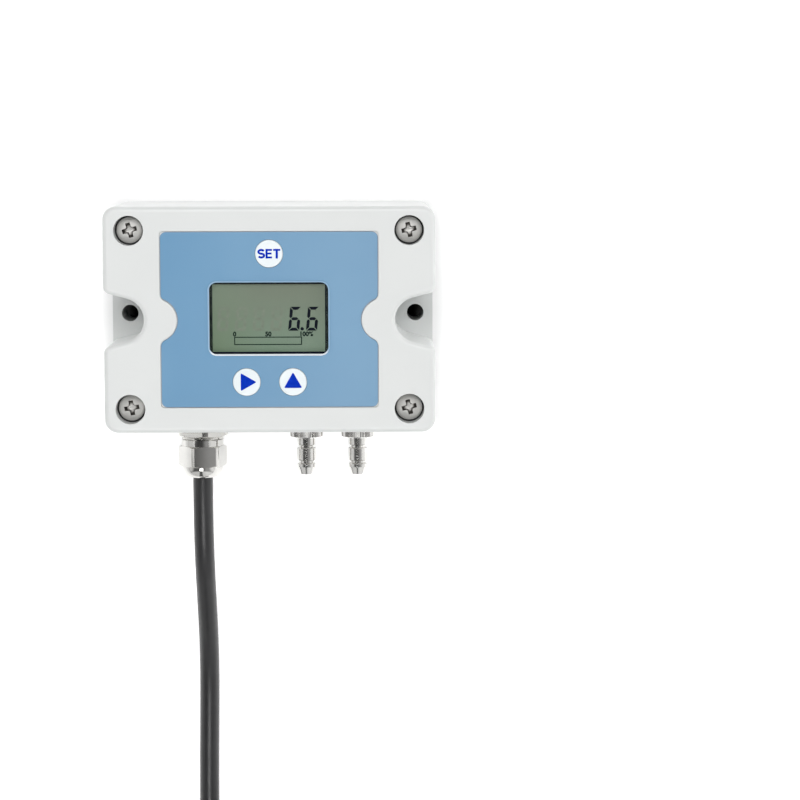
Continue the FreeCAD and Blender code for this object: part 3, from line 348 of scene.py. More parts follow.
lcdInk = ink("lcd_ink", tint(0, 8, 26), 0.6)
lcdGhost = ink("lcd_ghost", tint(135, 146, 130))
lcdLine = ink("lcd_line", tint(22, 40, 36))
legendInk = ink("legend_ink", tint(0, 44, 168))

for part in frame["record"]["subparts"]:
    mesh = nodes[part["node"]].data
    mesh.materials.clear()
    mesh.materials.append(finishes[part["material_slot"]])
for name in ("lid_screws", "display_board_screws", "main_board_screws"):
    nodes[name].data.materials[0] = screwSteel
nodes["display_bezel"].data.materials[0] = bezelInk
nodes["gland_nut"].data.materials[0] = polishedNut("polished_nut", tint(211, 210, 207))


# nothing selected, so that an operator reaches only the new piece
def startPiece():
    if bpy.context.mode != "OBJECT":
        bpy.ops.object.mode_set(mode="OBJECT")
    bpy.ops.object.select_all(action="DESELECT")


def only(piece):
    startPiece()
    piece.select_set(True)
    bpy.context.view_layer.objects.active = piece


tolerance = 0.000001     # vertices closer than this are one
facing = 0.9             # how far a normal leans along an axis for its face to look that way


# picks vertices or faces in code, then the edit operator works on them
def editing(piece, kind, wanted):
    only(piece)
    data = piece.data
    bpy.context.tool_settings.mesh_select_mode = (kind == "verts", False, kind == "faces")
    for group in (data.vertices, data.edges, data.polygons):
        group.foreach_set("select", [False] * len(group))
    for item in (data.vertices if kind == "verts" else data.polygons):
        item.select = wanted(item)
    bpy.ops.object.mode_set(mode="EDIT")


def doneEditing():
    bpy.ops.object.mode_set(mode="OBJECT")


# merged vertices and faces that look outwards
def cleanMesh():
    bpy.ops.mesh.select_all(action="SELECT")
    bpy.ops.mesh.remove_doubles(threshold=tolerance)
    bpy.ops.mesh.normals_make_consistent(inside=False)
    doneEditing()


# a turned shape: the profile is drawn vertex by vertex, then spun round the upright axis
def turnedShape(profile, steps=48):
    startPiece()
    bpy.ops.mesh.primitive_plane_add(size=1)
    piece = bpy.context.object
    editing(piece, "verts", lambda vertex: True)
    bpy.ops.mesh.merge(type="CENTER")
    bpy.ops.transform.translate(value=(profile[0][0] * mm, 0, profile[0][1] * mm))
    for (radius, height), (nextRadius, nextHeight) in zip(profile, profile[1:]):
        step = ((nextRadius - radius) * mm, 0, (nextHeight - height) * mm)
        bpy.ops.mesh.extrude_region_move(TRANSFORM_OT_translate={"value": step})
    bpy.ops.mesh.select_all(action="SELECT")
    bpy.ops.mesh.spin(steps=steps, angle=2 * math.pi, center=(0, 0, 0), axis=(0, 0, 1))
    cleanMesh()
    return piece


def applied(piece, kind, **settings):
    modifier = piece.modifiers.new(kind.lower(), kind)
    for name, setting in settings.items():
        setattr(modifier, name, setting)
    only(piece)
    bpy.ops.object.modifier_apply(modifier=modifier.name)


# the place, turn and size go into the mesh
def settle(piece):
    only(piece)
    bpy.ops.object.transform_apply(location=True, rotation=True, scale=True)


def copyOf(piece, matrix):
    twin = piece.copy()
    twin.data = piece.data.copy()
    twin.data.transform(matrix)
    bpy.context.scene.collection.objects.link(twin)
    return twin


def joined(pieces):
    startPiece()
    for piece in pieces:
        piece.select_set(True)
    bpy.context.view_layer.objects.active = pieces[0]
    if len(pieces) > 1:
        bpy.ops.object.join()
    return bpy.context.view_layer.objects.active


smoothAngle = 32


def finishPiece(piece, name, body, slot, material=None, stands=()):
    piece.name = name
    piece.data.name = name
    settle(piece)
    if piece.type == "MESH":
        bpy.ops.object.mode_set(mode="EDIT")
        cleanMesh()
        bpy.ops.object.shade_smooth_by_angle(angle=math.radians(smoothAngle))
    piece.data.materials.clear()
    piece.data.materials.append(material or finishes[slot])
    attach(piece, body)
    if stands:
        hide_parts(*stands)
    return piece


# gives a flat piece its thickness upwards
def thicken(piece, height):
    editing(piece, "faces", lambda face: True)
    bpy.ops.mesh.extrude_region_move(TRANSFORM_OT_translate={"value": (0, 0, height)})
    doneEditing()


# a flat sheet of a length and a width, level, with its middle at a place
def flatSheet(length, width, place):
    startPiece()
    bpy.ops.mesh.primitive_plane_add(size=1, location=place)
    sheet = bpy.context.object
    sheet.scale = (length, width, 1)
    settle(sheet)
    return sheet


print("display")
lcd = {
    "digitHeight": 7.25, "digitWidth": 3.38, "stroke": 0.9, "segmentGap": 0.3, "slant": 5.5,
    "digitMiddle": 0.14, "lastDigit": 12.95, "pitch": 5.4, "places": 6,
    "dot": (9.78, -2.92), "dotRadius": 0.52,
    "bar": (-10.82, 9.74, -7.8, -5.28), "line": 0.3,
    "marks": (("0", -10.68), ("50", -0.46), ("100%", 11.17)), "marksMiddle": -4.46, "marksHeight": 1.52,
    "marksWeight": 0.05,
    "inkHeight": 0.03, "ghostHeight": 0.015,
}
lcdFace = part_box("display_glass")[1].z


# a bar standing along Y: an end is a point, or where it meets a corner a slope up to its outer side
def segmentBar(length, width, cornerEnds=()):
    startPiece()
    radius = width / math.sqrt(3)
    bpy.ops.mesh.primitive_circle_add(vertices=6, radius=radius, fill_type="NGON")
    bar = bpy.context.object
    tip = width * (0.5 - 0.5 / math.sqrt(3))
    for way in (1, -1):
        editing(bar, "verts", lambda vertex: vertex.co.y * way > 0)
        bpy.ops.transform.translate(value=(0, way * (length / 2 - radius - tip), 0))
        doneEditing()
        editing(bar, "verts", lambda vertex: vertex.co.y * way > length / 2 - tip * 1.5)
        across, along = (width / 2, tip + width / 2) if way in cornerEnds else (0, tip)
        bpy.ops.transform.translate(value=(across, way * along, 0))
        doneEditing()
    return bar


# the seven segments are a to f, clockwise from the top, and g in the middle
def digitSegments(lit):
    stroke = lcd["stroke"] * mm
    wide = lcd["digitWidth"] * mm - stroke
    tall = (lcd["digitHeight"] * mm - stroke) / 2
    gap = lcd["segmentGap"] * mm
    # of each: its length, the ends that meet a corner, its middle and its turn
    places = {
        "a": (wide, (1, -1), 0, tall, 90), "d": (wide, (1, -1), 0, -tall, -90), "g": (wide, (), 0, 0, 90),
        "b": (tall, (1,), wide / 2, tall / 2, 0), "c": (tall, (-1,), wide / 2, -tall / 2, 0),
        "f": (tall, (-1,), -wide / 2, tall / 2, 180), "e": (tall, (1,), -wide / 2, -tall / 2, 180),
    }
    pieces = []
    for letter in lit:
        span, cornerEnds, x, y, degrees = places[letter]
        bar = segmentBar(span - gap, stroke, cornerEnds)
        turn = Matrix.Rotation(math.radians(degrees), 4, "Z")
        bar.data.transform(Matrix.Translation((x, y, 0)) @ turn)
        pieces.append(bar)
    digit = joined(pieces)
    lean = Matrix()
    lean[0][1] = math.tan(math.radians(lcd["slant"]))
    digit.data.transform(lean)
    return digit


def digitRow(lit, places, name, height, material):
    digits = []
    for place in places:
        digit = digitSegments(lit)
        x = (lcd["lastDigit"] - lcd["pitch"] * place) * mm
        digit.data.transform(Matrix.Translation((x, lcd["digitMiddle"] * mm, lcdFace)))
        digits.append(digit)
    row = joined(digits)
    thicken(row, height * mm)
    return finishPiece(row, name, "case", "lcd_glass", material)


def digitDot():
    startPiece()
    x, y = lcd["dot"]
    bpy.ops.mesh.primitive_circle_add(vertices=24, radius=lcd["dotRadius"] * mm, fill_type="NGON",
                                      location=(x * mm, y * mm, lcdFace))
    dot = bpy.context.object
    thicken(dot, lcd["inkHeight"] * mm)
    finishPiece(dot, "lcd_point", "case", "lcd_glass", lcdInk)


def barOutline():
    left, right, low, high = (value * mm for value in lcd["bar"])
    bar = flatSheet(right - left, high - low, ((left + right) / 2, (low + high) / 2, lcdFace))
    editing(bar, "faces", lambda face: True)
    bpy.ops.mesh.inset(thickness=lcd["line"] * mm)
    bpy.ops.mesh.delete(type="FACE")
    doneEditing()
    thicken(bar, lcd["inkHeight"] * mm)
    finishPiece(bar, "lcd_bar_outline", "case", "lcd_glass", lcdLine)


# a word as a mesh, brought to a height, standing on the display's glass
def wordMesh(text, x, y, height, weight):
    startPiece()
    bpy.ops.object.text_add()
    word = bpy.context.object
    word.data.body = text
    word.data.offset = weight
    word.data.resolution_u = 4
    bpy.ops.object.convert(target="MESH")
    word = bpy.context.object
    corners = [vertex.co for vertex in word.data.vertices]
    low = Vector([min(corner[axis] for corner in corners) for axis in range(3)])
    high = Vector([max(corner[axis] for corner in corners) for axis in range(3)])
    grow = height * mm / (high.y - low.y)
    word.data.transform(Matrix.Diagonal((grow, grow, 1, 1)) @ Matrix.Translation((low + high) / -2))
    word.data.transform(Matrix.Translation((x * mm, y * mm, lcdFace)))
    thicken(word, lcd["inkHeight"] * mm)
    return word


def scaleMarks():
    words = []
    for text, x in lcd["marks"]:
        words.append(wordMesh(text, x, lcd["marksMiddle"], lcd["marksHeight"], lcd["marksWeight"]))
    finishPiece(joined(words), "lcd_scale_marks", "case", "lcd_glass", lcdLine)


digitRow("afgecd", (0, 1), "lcd_digits", lcd["inkHeight"], lcdInk)
digitRow("abcdefg", range(2, lcd["places"]), "lcd_idle_digits", lcd["ghostHeight"], lcdGhost)
digitDot()
barOutline()
scaleMarks()


print("window edge")
window = {
    "length": 35.9, "width": 21.7, "round": 2.3, "roundSteps": 8, "shift": (-0.2, 0.5),
    "trim": 0.42, "low": 0.02, "high": 0.3, "sheet": 0.06,
    "view": (34.4, 20.8), "shade": 0.16, "shadeShift": 0.1,
}


# a low bevelled trim on the label, sloping down into the window
def windowTrim():
    x, y = (value * mm for value in window["shift"])
    width = window["trim"] * mm
    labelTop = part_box("front_label")[1].z
    trim = flatSheet(window["length"] * mm + 2 * width, window["width"] * mm + 2 * width,
                     (x, y, labelTop + window["high"] * mm))
    editing(trim, "verts", lambda vertex: True)
    bpy.ops.mesh.bevel(affect="VERTICES", offset=window["round"] * mm + width, segments=window["roundSteps"])
    bpy.ops.mesh.select_all(action="SELECT")
    bpy.ops.mesh.inset(thickness=width)
    bpy.ops.transform.translate(value=(0, 0, -(window["high"] - window["low"]) * mm))
    bpy.ops.mesh.delete(type="ONLY_FACE")
    doneEditing()
    applied(trim, "SOLIDIFY", thickness=window["sheet"] * mm, offset=-1)
    finishPiece(trim, "window_trim", "case", "key_white", trimFilmHighlight)


# the black line printed round the display's glass, a little wider at the right and at the top
def glassShade():
    x, y = (value * mm for value in window["shift"])
    length, width = (value * mm for value in window["view"])
    shade = flatSheet(length, width, (x, y, lcdFace))
    editing(shade, "faces", lambda face: True)
    bpy.ops.mesh.inset(thickness=window["shade"] * mm)
    bpy.ops.transform.translate(value=(-window["shadeShift"] * mm, -window["shadeShift"] * mm, 0))
    bpy.ops.mesh.delete(type="ONLY_FACE")
    doneEditing()
    thicken(shade, lcd["inkHeight"] * mm)
    finishPiece(shade, "glass_shade", "case", "dark_plastic", bezelInk)


glassShade()
windowTrim()


print("keys")
legends = {
    "film": ((0, 0.0), (4.08, 0.0), (4.13, 0.03), (4.04, 0.055), (3.7, 0.06), (0, 0.06)), "filmRise": 0.06,
    "setHeight": 2.9, "stroke": 0.64, "thick": 0.03, "stemRise": 1.2, "barShare": 0.9, "middleShare": 0.85,
    "stemShare": 1.05, "middleShorter": 0.15, "middleShift": (-0.05, 0.05),
    "letterS": (-2.3, 0.86), "letterE": (-0.05, 1.95), "letterT": (2.35, 2.15),
    "bowlStep": 20, "upperBowl": (25, 266), "lowerBowl": (85, -156),
    "arrowLength": 4.8, "arrowWidth": 5.5, "arrowRound": 0.448, "arrowShift": 0.58,
}


def keyMiddle(name):
    low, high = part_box(name)
    return (low + high) / 2, high.z + legends["filmRise"] * mm


# the printed film over each key, with its edge rolled down
def keyDisc(key, body, name):
    middle, top = keyMiddle(key)
    disc = turnedShape(legends["film"])
    disc.data.transform(Matrix.Translation((middle.x, middle.y, top - legends["filmRise"] * mm)))
    finishPiece(disc, name, body, "key_white")


# a stem is a little thicker than the bars that cross it, so that no two faces lie in one plane
def letterBar(x, y, width, height, rise=1.0):
    bar = flatSheet(width * mm, height * mm, (x * mm, y * mm, 0))
    thicken(bar, legends["thick"] * rise * mm)
    return bar


# a round tube, its ends closed, along one smooth NURBS line through a route in millimetres
def smoothTube(name, route, diameter, sides, steps):
    curve = bpy.data.curves.new(name, "CURVE")
    curve.dimensions = "3D"
    spline = curve.splines.new("NURBS")
    spline.points.add(len(route) - 1)
    for point, place in zip(spline.points, route):
        point.co = (*(value * mm for value in place), 1)
    spline.order_u = 3
    spline.use_endpoint_u = True
    spline.resolution_u = steps
    curve.bevel_depth = diameter * mm / 2
    curve.bevel_resolution = sides
    curve.use_fill_caps = True
    tube = bpy.data.objects.new(name, curve)
    bpy.context.scene.collection.objects.link(tube)
    return tube


# the curved letter: two bowls drawn as one stroke, then pressed flat
def letterCurve(x, halfWidth):
    bowl = (legends["setHeight"] - legends["stroke"]) / 4
    route = []
    for side, bowlAngles in ((1, legends["upperBowl"]), (-1, legends["lowerBowl"])):
        for degrees in range(*bowlAngles, side * legends["bowlStep"]):
            turn = math.radians(degrees)
            route.append((x + halfWidth * math.cos(turn), bowl * (side + math.sin(turn)), 0))
    letter = smoothTube("letter", route, legends["stroke"], 4, 12)
    only(letter)
    bpy.ops.object.convert(target="MESH")
    letter = bpy.context.object
    flatten = Matrix.Diagonal((1, 1, legends["thick"] / legends["stroke"], 1))
    letter.data.transform(Matrix.Translation((0, 0, legends["thick"] * mm / 2)) @ flatten)
    return letter


def setLegend():
    middle, top = keyMiddle("key_set")
    tall, stroke, stemRise = legends["setHeight"], legends["stroke"], legends["stemRise"]
    half = (tall - stroke) / 2
    bar = stroke * legends["barShare"]
    eMiddle, eWidth = legends["letterE"]
    tMiddle, tWidth = legends["letterT"]
    right, up = legends["middleShift"]
    pieces = [
        letterCurve(*legends["letterS"]),
        letterBar(eMiddle - (eWidth - stroke) / 2, 0, stroke, tall, stemRise),
        letterBar(eMiddle, half, eWidth, bar),
        letterBar(eMiddle, -half, eWidth, bar),
        letterBar(eMiddle + right, up, eWidth - legends["middleShorter"], stroke * legends["middleShare"]),
        letterBar(tMiddle, half, tWidth, bar),
        letterBar(tMiddle, 0, stroke * legends["stemShare"], tall, stemRise),
    ]
    word = joined(pieces)
    word.data.transform(Matrix.Translation((middle.x, middle.y, top)))
    finishPiece(word, "set_legend", "set_key", "key_white", legendInk)


# an even triangle brought to its width and length, with its corners rounded
def arrowLegend(key, body, name, turn):
    middle, top = keyMiddle(key)
    startPiece()
    bpy.ops.mesh.primitive_circle_add(vertices=3, radius=1, fill_type="NGON")
    arrow = bpy.context.object
    evenWidth, evenLength, tip = math.sqrt(3), 1.5, 1
    arrow.data.transform(Matrix.Translation((0, evenLength / 2 - tip, 0)))
    arrow.scale = (legends["arrowWidth"] * mm / evenWidth, legends["arrowLength"] * mm / evenLength, 1)
    settle(arrow)
    editing(arrow, "verts", lambda vertex: True)
    bpy.ops.mesh.bevel(affect="VERTICES", offset=legends["arrowRound"] * mm, segments=5)
    doneEditing()
    arrow.data.transform(Matrix.Translation((0, legends["arrowShift"] * mm, 0)))
    arrow.data.transform(Matrix.Translation((middle.x, middle.y, top)) @ Matrix.Rotation(turn, 4, "Z"))
    thicken(arrow, legends["thick"] * mm)
    finishPiece(arrow, name, body, "key_white", legendInk)


keyDisc("key_set", "set_key", "set_film")
keyDisc("key_shift", "shift_key", "shift_film")
keyDisc("key_up", "up_key", "up_film")
setLegend()
arrowLegend("key_shift", "shift_key", "shift_legend", -math.pi / 2)
arrowLegend("key_up", "up_key", "up_legend", 0)


print("lid screws")
screw = {
    "head": 7.8, "headHeight": 2.5, "rim": 2.05, "edge": 0.15, "crownSteps": 6, "shank": 4.0, "point": 0.7,
    "crossLength": 5.0, "arm": 1.5, "armRound": 0.6, "depth": 1.6, "taper": 0.62, "above": 0.3,
    "bevel": 0.06, "bevelAngle": 35, "recessBelow": 0.3, "recessReach": 1.76, "turns": (15, 12, 9, 14),
    "shadeRingRadius": 4.22, "shadeRingThickness": 0.24, "shadeRingDrop": 0.9, "shadeRingStep": 30,
}


# a pointed shank and a low crowned head, turned in one piece
def screwBlank(top, bottom):
    seat = top - screw["headHeight"]
    head, shank, point = screw["head"] / 2, screw["shank"] / 2, screw["point"]
    rim, edge = seat + screw["rim"], screw["edge"]
    profile = [(0, bottom), (shank - point, bottom), (shank, bottom + point), (shank, seat),
               (head - edge, seat), (head, seat + edge), (head, rim)]
    for step in range(1, screw["crownSteps"] + 1):
        inwards = 1 - step / screw["crownSteps"]
        profile.append((head * inwards, rim + (top - rim) * (1 - inwards ** 2)))
    return turnedShape(profile)


# the driver's cross: a plane with an arm drawn out on each side, its inner corners rounded
def crossCutter(top):
    half = screw["arm"] * mm / 2
    nearHalf = half * 1.1
    cutter = flatSheet(2 * half, 2 * half, (0, 0, (top + screw["above"]) * mm))
    reach = (screw["crossLength"] - screw["arm"]) / 2 * mm
    for x, y in ((1, 0), (-1, 0), (0, 1), (0, -1)):
        editing(cutter, "verts", lambda vertex: abs(vertex.co.x * x + vertex.co.y * y - half) < half / 10
                and abs(vertex.co.x * y + vertex.co.y * x) < nearHalf)
        bpy.ops.mesh.extrude_region_move(TRANSFORM_OT_translate={"value": (x * reach, y * reach, 0)})
        doneEditing()
    editing(cutter, "faces", lambda face: True)
    bpy.ops.mesh.dissolve_faces()
    doneEditing()
    editing(cutter, "verts", lambda vertex: max(abs(vertex.co.x), abs(vertex.co.y)) < nearHalf)
    bpy.ops.mesh.bevel(affect="VERTICES", offset=screw["armRound"] * mm, segments=4)
    doneEditing()
    editing(cutter, "faces", lambda face: True)
    drop = -(screw["depth"] + screw["above"]) * mm
    bpy.ops.mesh.extrude_region_move(TRANSFORM_OT_translate={"value": (0, 0, drop)})
    bpy.ops.transform.resize(value=(screw["taper"], screw["taper"], 1))
    bpy.ops.mesh.select_all(action="SELECT")
    bpy.ops.mesh.normals_make_consistent(inside=False)
    doneEditing()
    return cutter


def lidScrews():
    low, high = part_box("lid_screws")
    inset, top = screwInset * mm, high.z / mm
    blank = screwBlank(top, low.z / mm)
    cutter = crossCutter(top)
    applied(blank, "BOOLEAN", operation="DIFFERENCE", object=cutter, solver="EXACT")
    applied(blank, "BEVEL", width=screw["bevel"] * mm, segments=2, limit_method="ANGLE",
            angle_limit=math.radians(screw["bevelAngle"]))
    # a black ring round each head, low in its recess, is a painted shade: a dark piece put in the gap where
    # there is only shade
    ring, thick, level = screw["shadeRingRadius"], screw["shadeRingThickness"], top - screw["shadeRingDrop"]
    turns = [math.radians(degrees) for degrees in range(0, 361, screw["shadeRingStep"])]
    shadeRing = turnedShape([(ring + thick * math.cos(turn), level + thick * math.sin(turn)) for turn in turns])
    places = ((low.x + inset, high.y - inset), (high.x - inset, high.y - inset),
              (low.x + inset, low.y + inset), (high.x - inset, low.y + inset))
    heads, shadeRings = [], []
    for (x, y), degrees in zip(places, screw["turns"]):
        place = Matrix.Translation((x, y, 0)) @ Matrix.Rotation(math.radians(degrees), 4, "Z")
        heads.append(copyOf(blank, place))
        shadeRings.append(copyOf(shadeRing, place))
    for used in (blank, cutter, shadeRing):
        bpy.data.objects.remove(used)
    heads = finishPiece(joined(heads), "case_screws", "case", "stainless", screwSteel, stands=("lid_screws",))
    heads.data.materials.append(recessShadeSteel)
    # the faces of the crosses get the recess metal with its painted shade
    upper, lower = high.z - screw["recessBelow"] * mm, high.z - screw["recessReach"] * mm
    for face in heads.data.polygons:
        x, y, z = face.center
        fromAxis = min(math.hypot(x - placeX, y - placeY) for placeX, placeY in places)
        if fromAxis < screw["crossLength"] * mm / 2 and lower < z < upper:
            face.material_index = 1
    # the black rings are painted shade round the heads
    finishPiece(joined(shadeRings), "head_shade_rings", "case", "black_rubber")


lidScrews()


print("port marks")
portMarks = {
    "length": 5.4, "width": 0.75, "rise": 0.25, "uprightRise": 0.28, "bevel": 0.12, "drop": 12.2, "aside": 0.5,
}


# a raised bar on the lower wall: a plus sign has two, and the upright one stands a little prouder
def markBar(x, z, upright):
    startPiece()
    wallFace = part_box("case_base")[0].y
    rise = portMarks["uprightRise" if upright else "rise"] * mm
    bpy.ops.mesh.primitive_cube_add(size=1, location=(x, wallFace - rise / 2, z))
    bar = bpy.context.object
    across, along = portMarks["length"] * mm, portMarks["width"] * mm
    bar.scale = (along, rise, across) if upright else (across, rise, along)
    settle(bar)
    editing(bar, "faces", lambda face: face.normal.y < -facing)
    bpy.ops.mesh.bevel(offset=portMarks["bevel"] * mm, segments=3, affect="EDGES")
    doneEditing()
    return bar


def markPort(node, name, uprights):
    low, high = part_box(node)
    x = (low.x + high.x) / 2 + portMarks["aside"] * mm
    z = (low.z + high.z) / 2 - portMarks["drop"] * mm
    bars = [markBar(x, z, upright) for upright in uprights]
    finishPiece(joined(bars), name, "case", "enclosure")


markPort("nozzle_high", "mark_high_side", (False, True))
markPort("nozzle_low", "mark_low_side", (False,))


print("nozzle knurls")
knurl = {"teeth": 60, "radius": 4.95, "depth": 0.14, "length": 3.25, "start": 0.75, "wall": 0.3}


# a toothed sleeve round each nozzle's collar
def nozzleKnurl(node, name):
    low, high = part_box(node)
    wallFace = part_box("case_base")[0].y
    y = wallFace - (knurl["start"] + knurl["length"] / 2) * mm
    middle = Vector(((low.x + high.x) / 2, y, (low.z + high.z) / 2))
    startPiece()
    bpy.ops.mesh.primitive_cylinder_add(vertices=2 * knurl["teeth"], radius=knurl["radius"] * mm,
                                        depth=knurl["length"] * mm, end_fill_type="NOTHING")
    sleeve = bpy.context.object
    step = math.pi / knurl["teeth"]
    editing(sleeve, "verts", lambda vertex: round(math.atan2(vertex.co.y, vertex.co.x) / step) % 2 == 0)
    grow = 1 + knurl["depth"] / knurl["radius"]
    bpy.ops.transform.resize(value=(grow, grow, 1))
    doneEditing()
    sleeve.data.transform(Matrix.Translation(middle) @ Matrix.Rotation(math.pi / 2, 4, "X"))
    applied(sleeve, "SOLIDIFY", thickness=knurl["wall"] * mm, offset=-1)
    finishPiece(sleeve, name, "case", "stainless")


nozzleKnurl("nozzle_high", "high_knurl")
nozzleKnurl("nozzle_low", "low_knurl")


print("gland ring")
glandRing = {"outer": 6.65, "inner": 5.45, "thickness": 0.66, "clear": 0.22, "round": 0.14, "steps": 64}


# the loose ring that sits on the gland's thread between its body and its nut
def ringPiece():
    outer, inner, tall, edge = (glandRing[name] for name in ("outer", "inner", "thickness", "round"))
    profile = [(inner, 0), (outer - edge, 0), (outer, edge), (outer, tall - edge), (outer - edge, tall),
               (inner, tall), (inner, 0)]
    ring = turnedShape(profile, glandRing["steps"])
    low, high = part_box("gland_nut")
    y = high.y + glandRing["clear"] * mm
    place = Matrix.Translation(((low.x + high.x) / 2, y, (low.z + high.z) / 2))
    ring.data.transform(place @ Matrix.Rotation(-math.pi / 2, 4, "X"))
    finishPiece(ring, "gland_ring", "case", "nickel")


ringPiece()


print("cable")
cable = {
    "diameter": 6.2, "length": 0.82,
    "exit": (-21.9, -50.45, 24.5),
    "route": ((-21.9, -63.0, 24.5), (-21.8, -77.0, 22.2), (-21.6, -92.0, 15.6), (-21.5, -107.0, 8.2),
              (-21.7, -123.0, 4.0), (-22.1, -143.0, 3.1), (-22.3, -166.0, 3.2)),
    "tail": ((-21.9, -221.0, 9.5), (-22.3, -233.5, 6.3), (-23.2, -246.0, 3.2)),
    "coilMiddle": (14.2, -206.0), "outer": 36.1, "inner": 29.9, "low": 3.7, "high": 9.9, "pointsPerTurn": 16,
    "lanes": ((180, "outer", "low"), (495, "outer", "low"), (525, "inner", "low"),
              (825, "inner", "low"), (855, "inner", "high"), (1155, "inner", "high"),
              (1185, "outer", "high"), (1260, "outer", "high")),
    "sides": 6, "steps": 6,
}


# the coil's turns: outer and inner lane below, then inner and outer lane above
def coilPoints():
    step = 360 / cable["pointsPerTurn"]
    lanes = [(degrees, cable[radius], cable[height]) for degrees, radius, height in cable["lanes"]]
    first, last = lanes[0][0], lanes[-1][0]
    grow = 1 / math.cos(math.radians(step / 2))
    points = []
    angle = first - step / 2
    while angle < last + step:
        here = min(max(angle, first), last)
        for (start, firstRadius, firstHeight), (stop, lastRadius, lastHeight) in zip(lanes, lanes[1:]):
            if start <= here <= stop:
                share = (here - start) / (stop - start)
                radius = firstRadius + (lastRadius - firstRadius) * share
                height = firstHeight + (lastHeight - firstHeight) * share
                break
        turn = math.radians(angle)
        x = cable["coilMiddle"][0] + radius * grow * math.cos(turn)
        y = cable["coilMiddle"][1] + radius * grow * math.sin(turn)
        points.append((x, y, height))
        angle += step
    return points


tie = {
    "clear": 0.05, "thickness": 0.5, "width": 4.0, "steps": 40,
    "head": (4.6, 5.4, 2.6), "tail": (6.4, 3.8, 0.9), "tailShift": -2.6, "round": 0.3,
}


# a block on the tie's side, which slopes by an eighth of a turn, moved along that slope
def tieBlock(size, slide):
    rise = (cable["diameter"] / 2 + tie["clear"] + tie["thickness"] + tie["head"][2] / 2) * mm
    startPiece()
    bpy.ops.mesh.primitive_cube_add(size=1)
    block = bpy.context.object
    block.scale = [side * mm for side in size]
    settle(block)
    applied(block, "BEVEL", width=tie["round"] * mm, segments=3)
    x, y = cable["coilMiddle"]
    middle = Vector((x + (cable["outer"] + cable["inner"]) / 2, y, (cable["low"] + cable["high"]) / 2)) * mm
    block.data.transform(Matrix.Translation(middle) @ Matrix.Rotation(math.pi / 4, 4, "Y")
                         @ Matrix.Translation((slide * mm, 0, rise)))
    return block


# the tie drawn tight round the three turns on the coil's right, with its head and its cut end
def tightTie():
    rods = []
    x, y = cable["coilMiddle"]
    for lane, level in (("outer", "low"), ("inner", "low"), ("inner", "high")):
        place = [value * mm for value in (x + cable[lane], y, cable[level])]
        startPiece()
        bpy.ops.mesh.primitive_cylinder_add(
            vertices=tie["steps"], radius=(cable["diameter"] / 2 + tie["clear"]) * mm, depth=tie["width"] * mm,
            location=place, rotation=(math.pi / 2, 0, 0))
        rods.append(bpy.context.object)
        settle(rods[-1])
    strap = joined(rods)
    editing(strap, "verts", lambda vertex: True)
    bpy.ops.mesh.convex_hull()
    doneEditing()
    editing(strap, "faces", lambda face: abs(face.normal.y) > facing)
    bpy.ops.mesh.delete(type="FACE")
    doneEditing()
    applied(strap, "SOLIDIFY", thickness=tie["thickness"] * mm, offset=1)
    parts = [strap, tieBlock(tie["head"], 0.0), tieBlock(tie["tail"], tie["tailShift"])]
    return finishPiece(joined(parts), "coil_tie", "case", "black_rubber", stands=("cable_tie",))


cablePath = [cable["exit"], *cable["route"], *coilPoints(), *cable["tail"]]
cord = smoothTube("cable", cablePath, cable["diameter"], cable["sides"], cable["steps"])
finishPiece(cord, "cable", "case", "cable_black", stands=("cable_lead", "cable_coil", "cable_tail"))
tightTie()


print("room")
# in metres; the sky's and the glow's numbers are levels and the ends of soft edges
room = {
    "floor": 4.0, "floorGlow": 0.42, "glowCase": (0.05, 0.032), "glowEdge": (0.001, 0.01),
    "glowLeft": (-0.12, -0.09), "underCase": (-0.006, -0.001), "paintedShadeUnderCase": 0.02,
    "sensor": 36, "lens": 113.93, "camera": (0.02792, 0.06024, 0.80855), "look": (-0.1106, -0.0152, -0.0021),
    "skyLow": 0.13, "skyHigh": 0.06, "skyEdge": (0.8, 0.95), "skyRight": (0.05, 0.55, 0.27),
    "skyFront": 1.35, "skySide": (0.7, 0.92, 0.65), "skyGap": (0.06, 0.09, 0.18),
    "leftBox": {"place": (-0.9, 0.35, 0.85), "size": (1.2, 0.5), "power": 1.8},
    "rightBox": {"place": (0.95, 0.35, 0.8), "size": (1.1, 0.4), "power": 1.8},
    "backBox": {"place": (0.0, 0.42, 1.15), "size": (1.0, 0.3), "power": 8.0},
    "cableBox": {"place": (-0.03, -0.4, 0.85), "size": (0.32, 0.3), "power": 2.1},
}


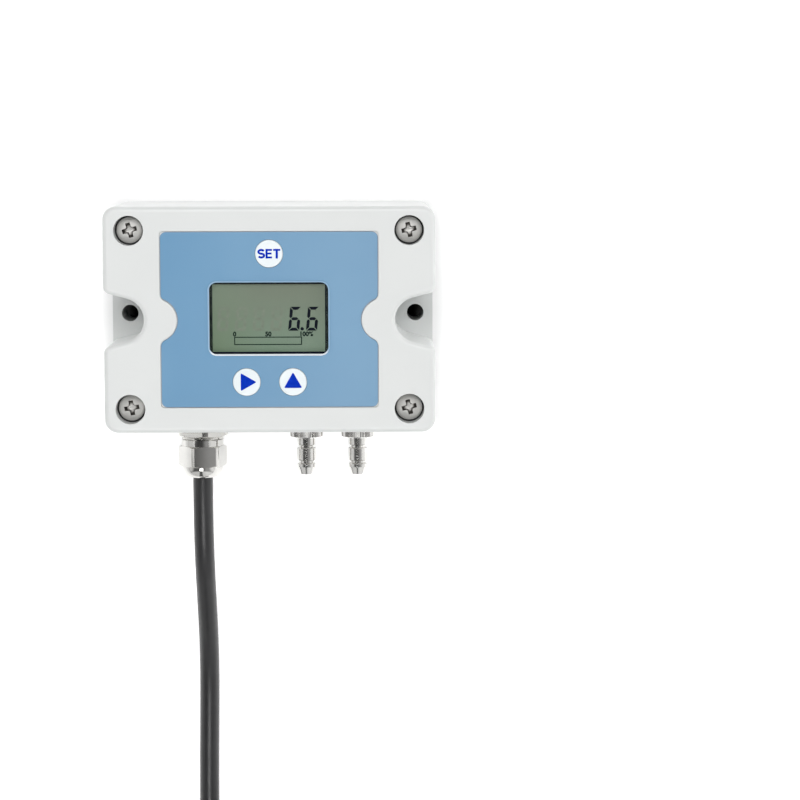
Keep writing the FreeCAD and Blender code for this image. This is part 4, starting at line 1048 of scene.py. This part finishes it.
def layFloor():
    startPiece()
    bpy.ops.mesh.primitive_plane_add(size=room["floor"], location=(0, 0, 0))
    floor = bpy.context.object
    floor.name = "floor"
    f = Finish("pale_floor")
    colour = f.blend(f.patches(3, 2), tint(250, 250, 250), tint(253, 253, 253))
    # the table glows a little outside the case, a painted light that whitens the floor and the case's shadow
    # on it, and the glow fades out far to the left; under the case the table is painted near black, a painted
    # shade seen through the mount holes
    halfLength, halfWidth = room["glowCase"]
    beside = f.math("ABSOLUTE", f.axis("X")) - halfLength
    outside = f.math("MAXIMUM", beside, f.math("ABSOLUTE", f.axis("Y")) - halfWidth)
    near = f.smooth(outside, *room["glowEdge"]) * f.smooth(f.axis("X"), *room["glowLeft"])
    paintedGlow = f.blend(near, (0, 0, 0), (1, 1, 1))
    colour = f.blend(f.smooth(outside, *room["underCase"]), [room["paintedShadeUnderCase"]] * 3, colour)
    paper = f.surface(colour, 0.9, Emission_Color=paintedGlow, Emission_Strength=room["floorGlow"])
    floor.data.materials.append(paper)


def hangSoftbox(name):
    box = room[name]
    startPiece()
    aim = Vector(box["place"]).to_track_quat("Z", "Y").to_euler()
    bpy.ops.object.light_add(type="AREA", location=box["place"], rotation=aim)
    light = bpy.context.object
    light.name = name
    light.data.shape = "RECTANGLE"
    light.data.size, light.data.size_y = box["size"]
    light.data.energy = box["power"]


# a grey sky, darker straight above, paler on the right and low at the sides and in front, with a gap there
def paintSky():
    world = bpy.data.worlds.new("studio")
    bpy.context.scene.world = world
    f = Finish("studio", world, "Generated")
    level = f.smooth(f.axis("Z"), *room["skyEdge"], room["skyLow"], room["skyHigh"])
    start, end, extra = room["skyRight"]
    level = level + f.smooth(f.axis("X"), start, end, 0, extra)
    side = f.math("MAXIMUM", f.math("ABSOLUTE", f.axis("X")), f.axis("Y") * -room["skyFront"])
    start, end, extra = room["skySide"]
    middle, near, far = room["skyGap"]
    besideGap = f.smooth(f.math("ABSOLUTE", f.axis("X") + middle), near, far)
    level = level + f.smooth(side, start, end, 0, extra) * besideGap
    backdrop = f.node("ShaderNodeBackground", inputs={"Color": (1, 1, 1, 1), "Strength": level})
    f.node("ShaderNodeOutputWorld", inputs={"Surface": backdrop})


def setCamera():
    startPiece()
    bpy.ops.object.camera_add(location=room["camera"], rotation=room["look"])
    camera = bpy.context.object
    camera.data.lens = room["lens"]
    camera.data.sensor_width = room["sensor"]
    bpy.context.scene.camera = camera


layFloor()
paintSky()
for box in ("leftBox", "rightBox", "backBox", "cableBox"):
    hangSoftbox(box)
setCamera()
bpy.context.scene.view_settings.view_transform = "Standard"
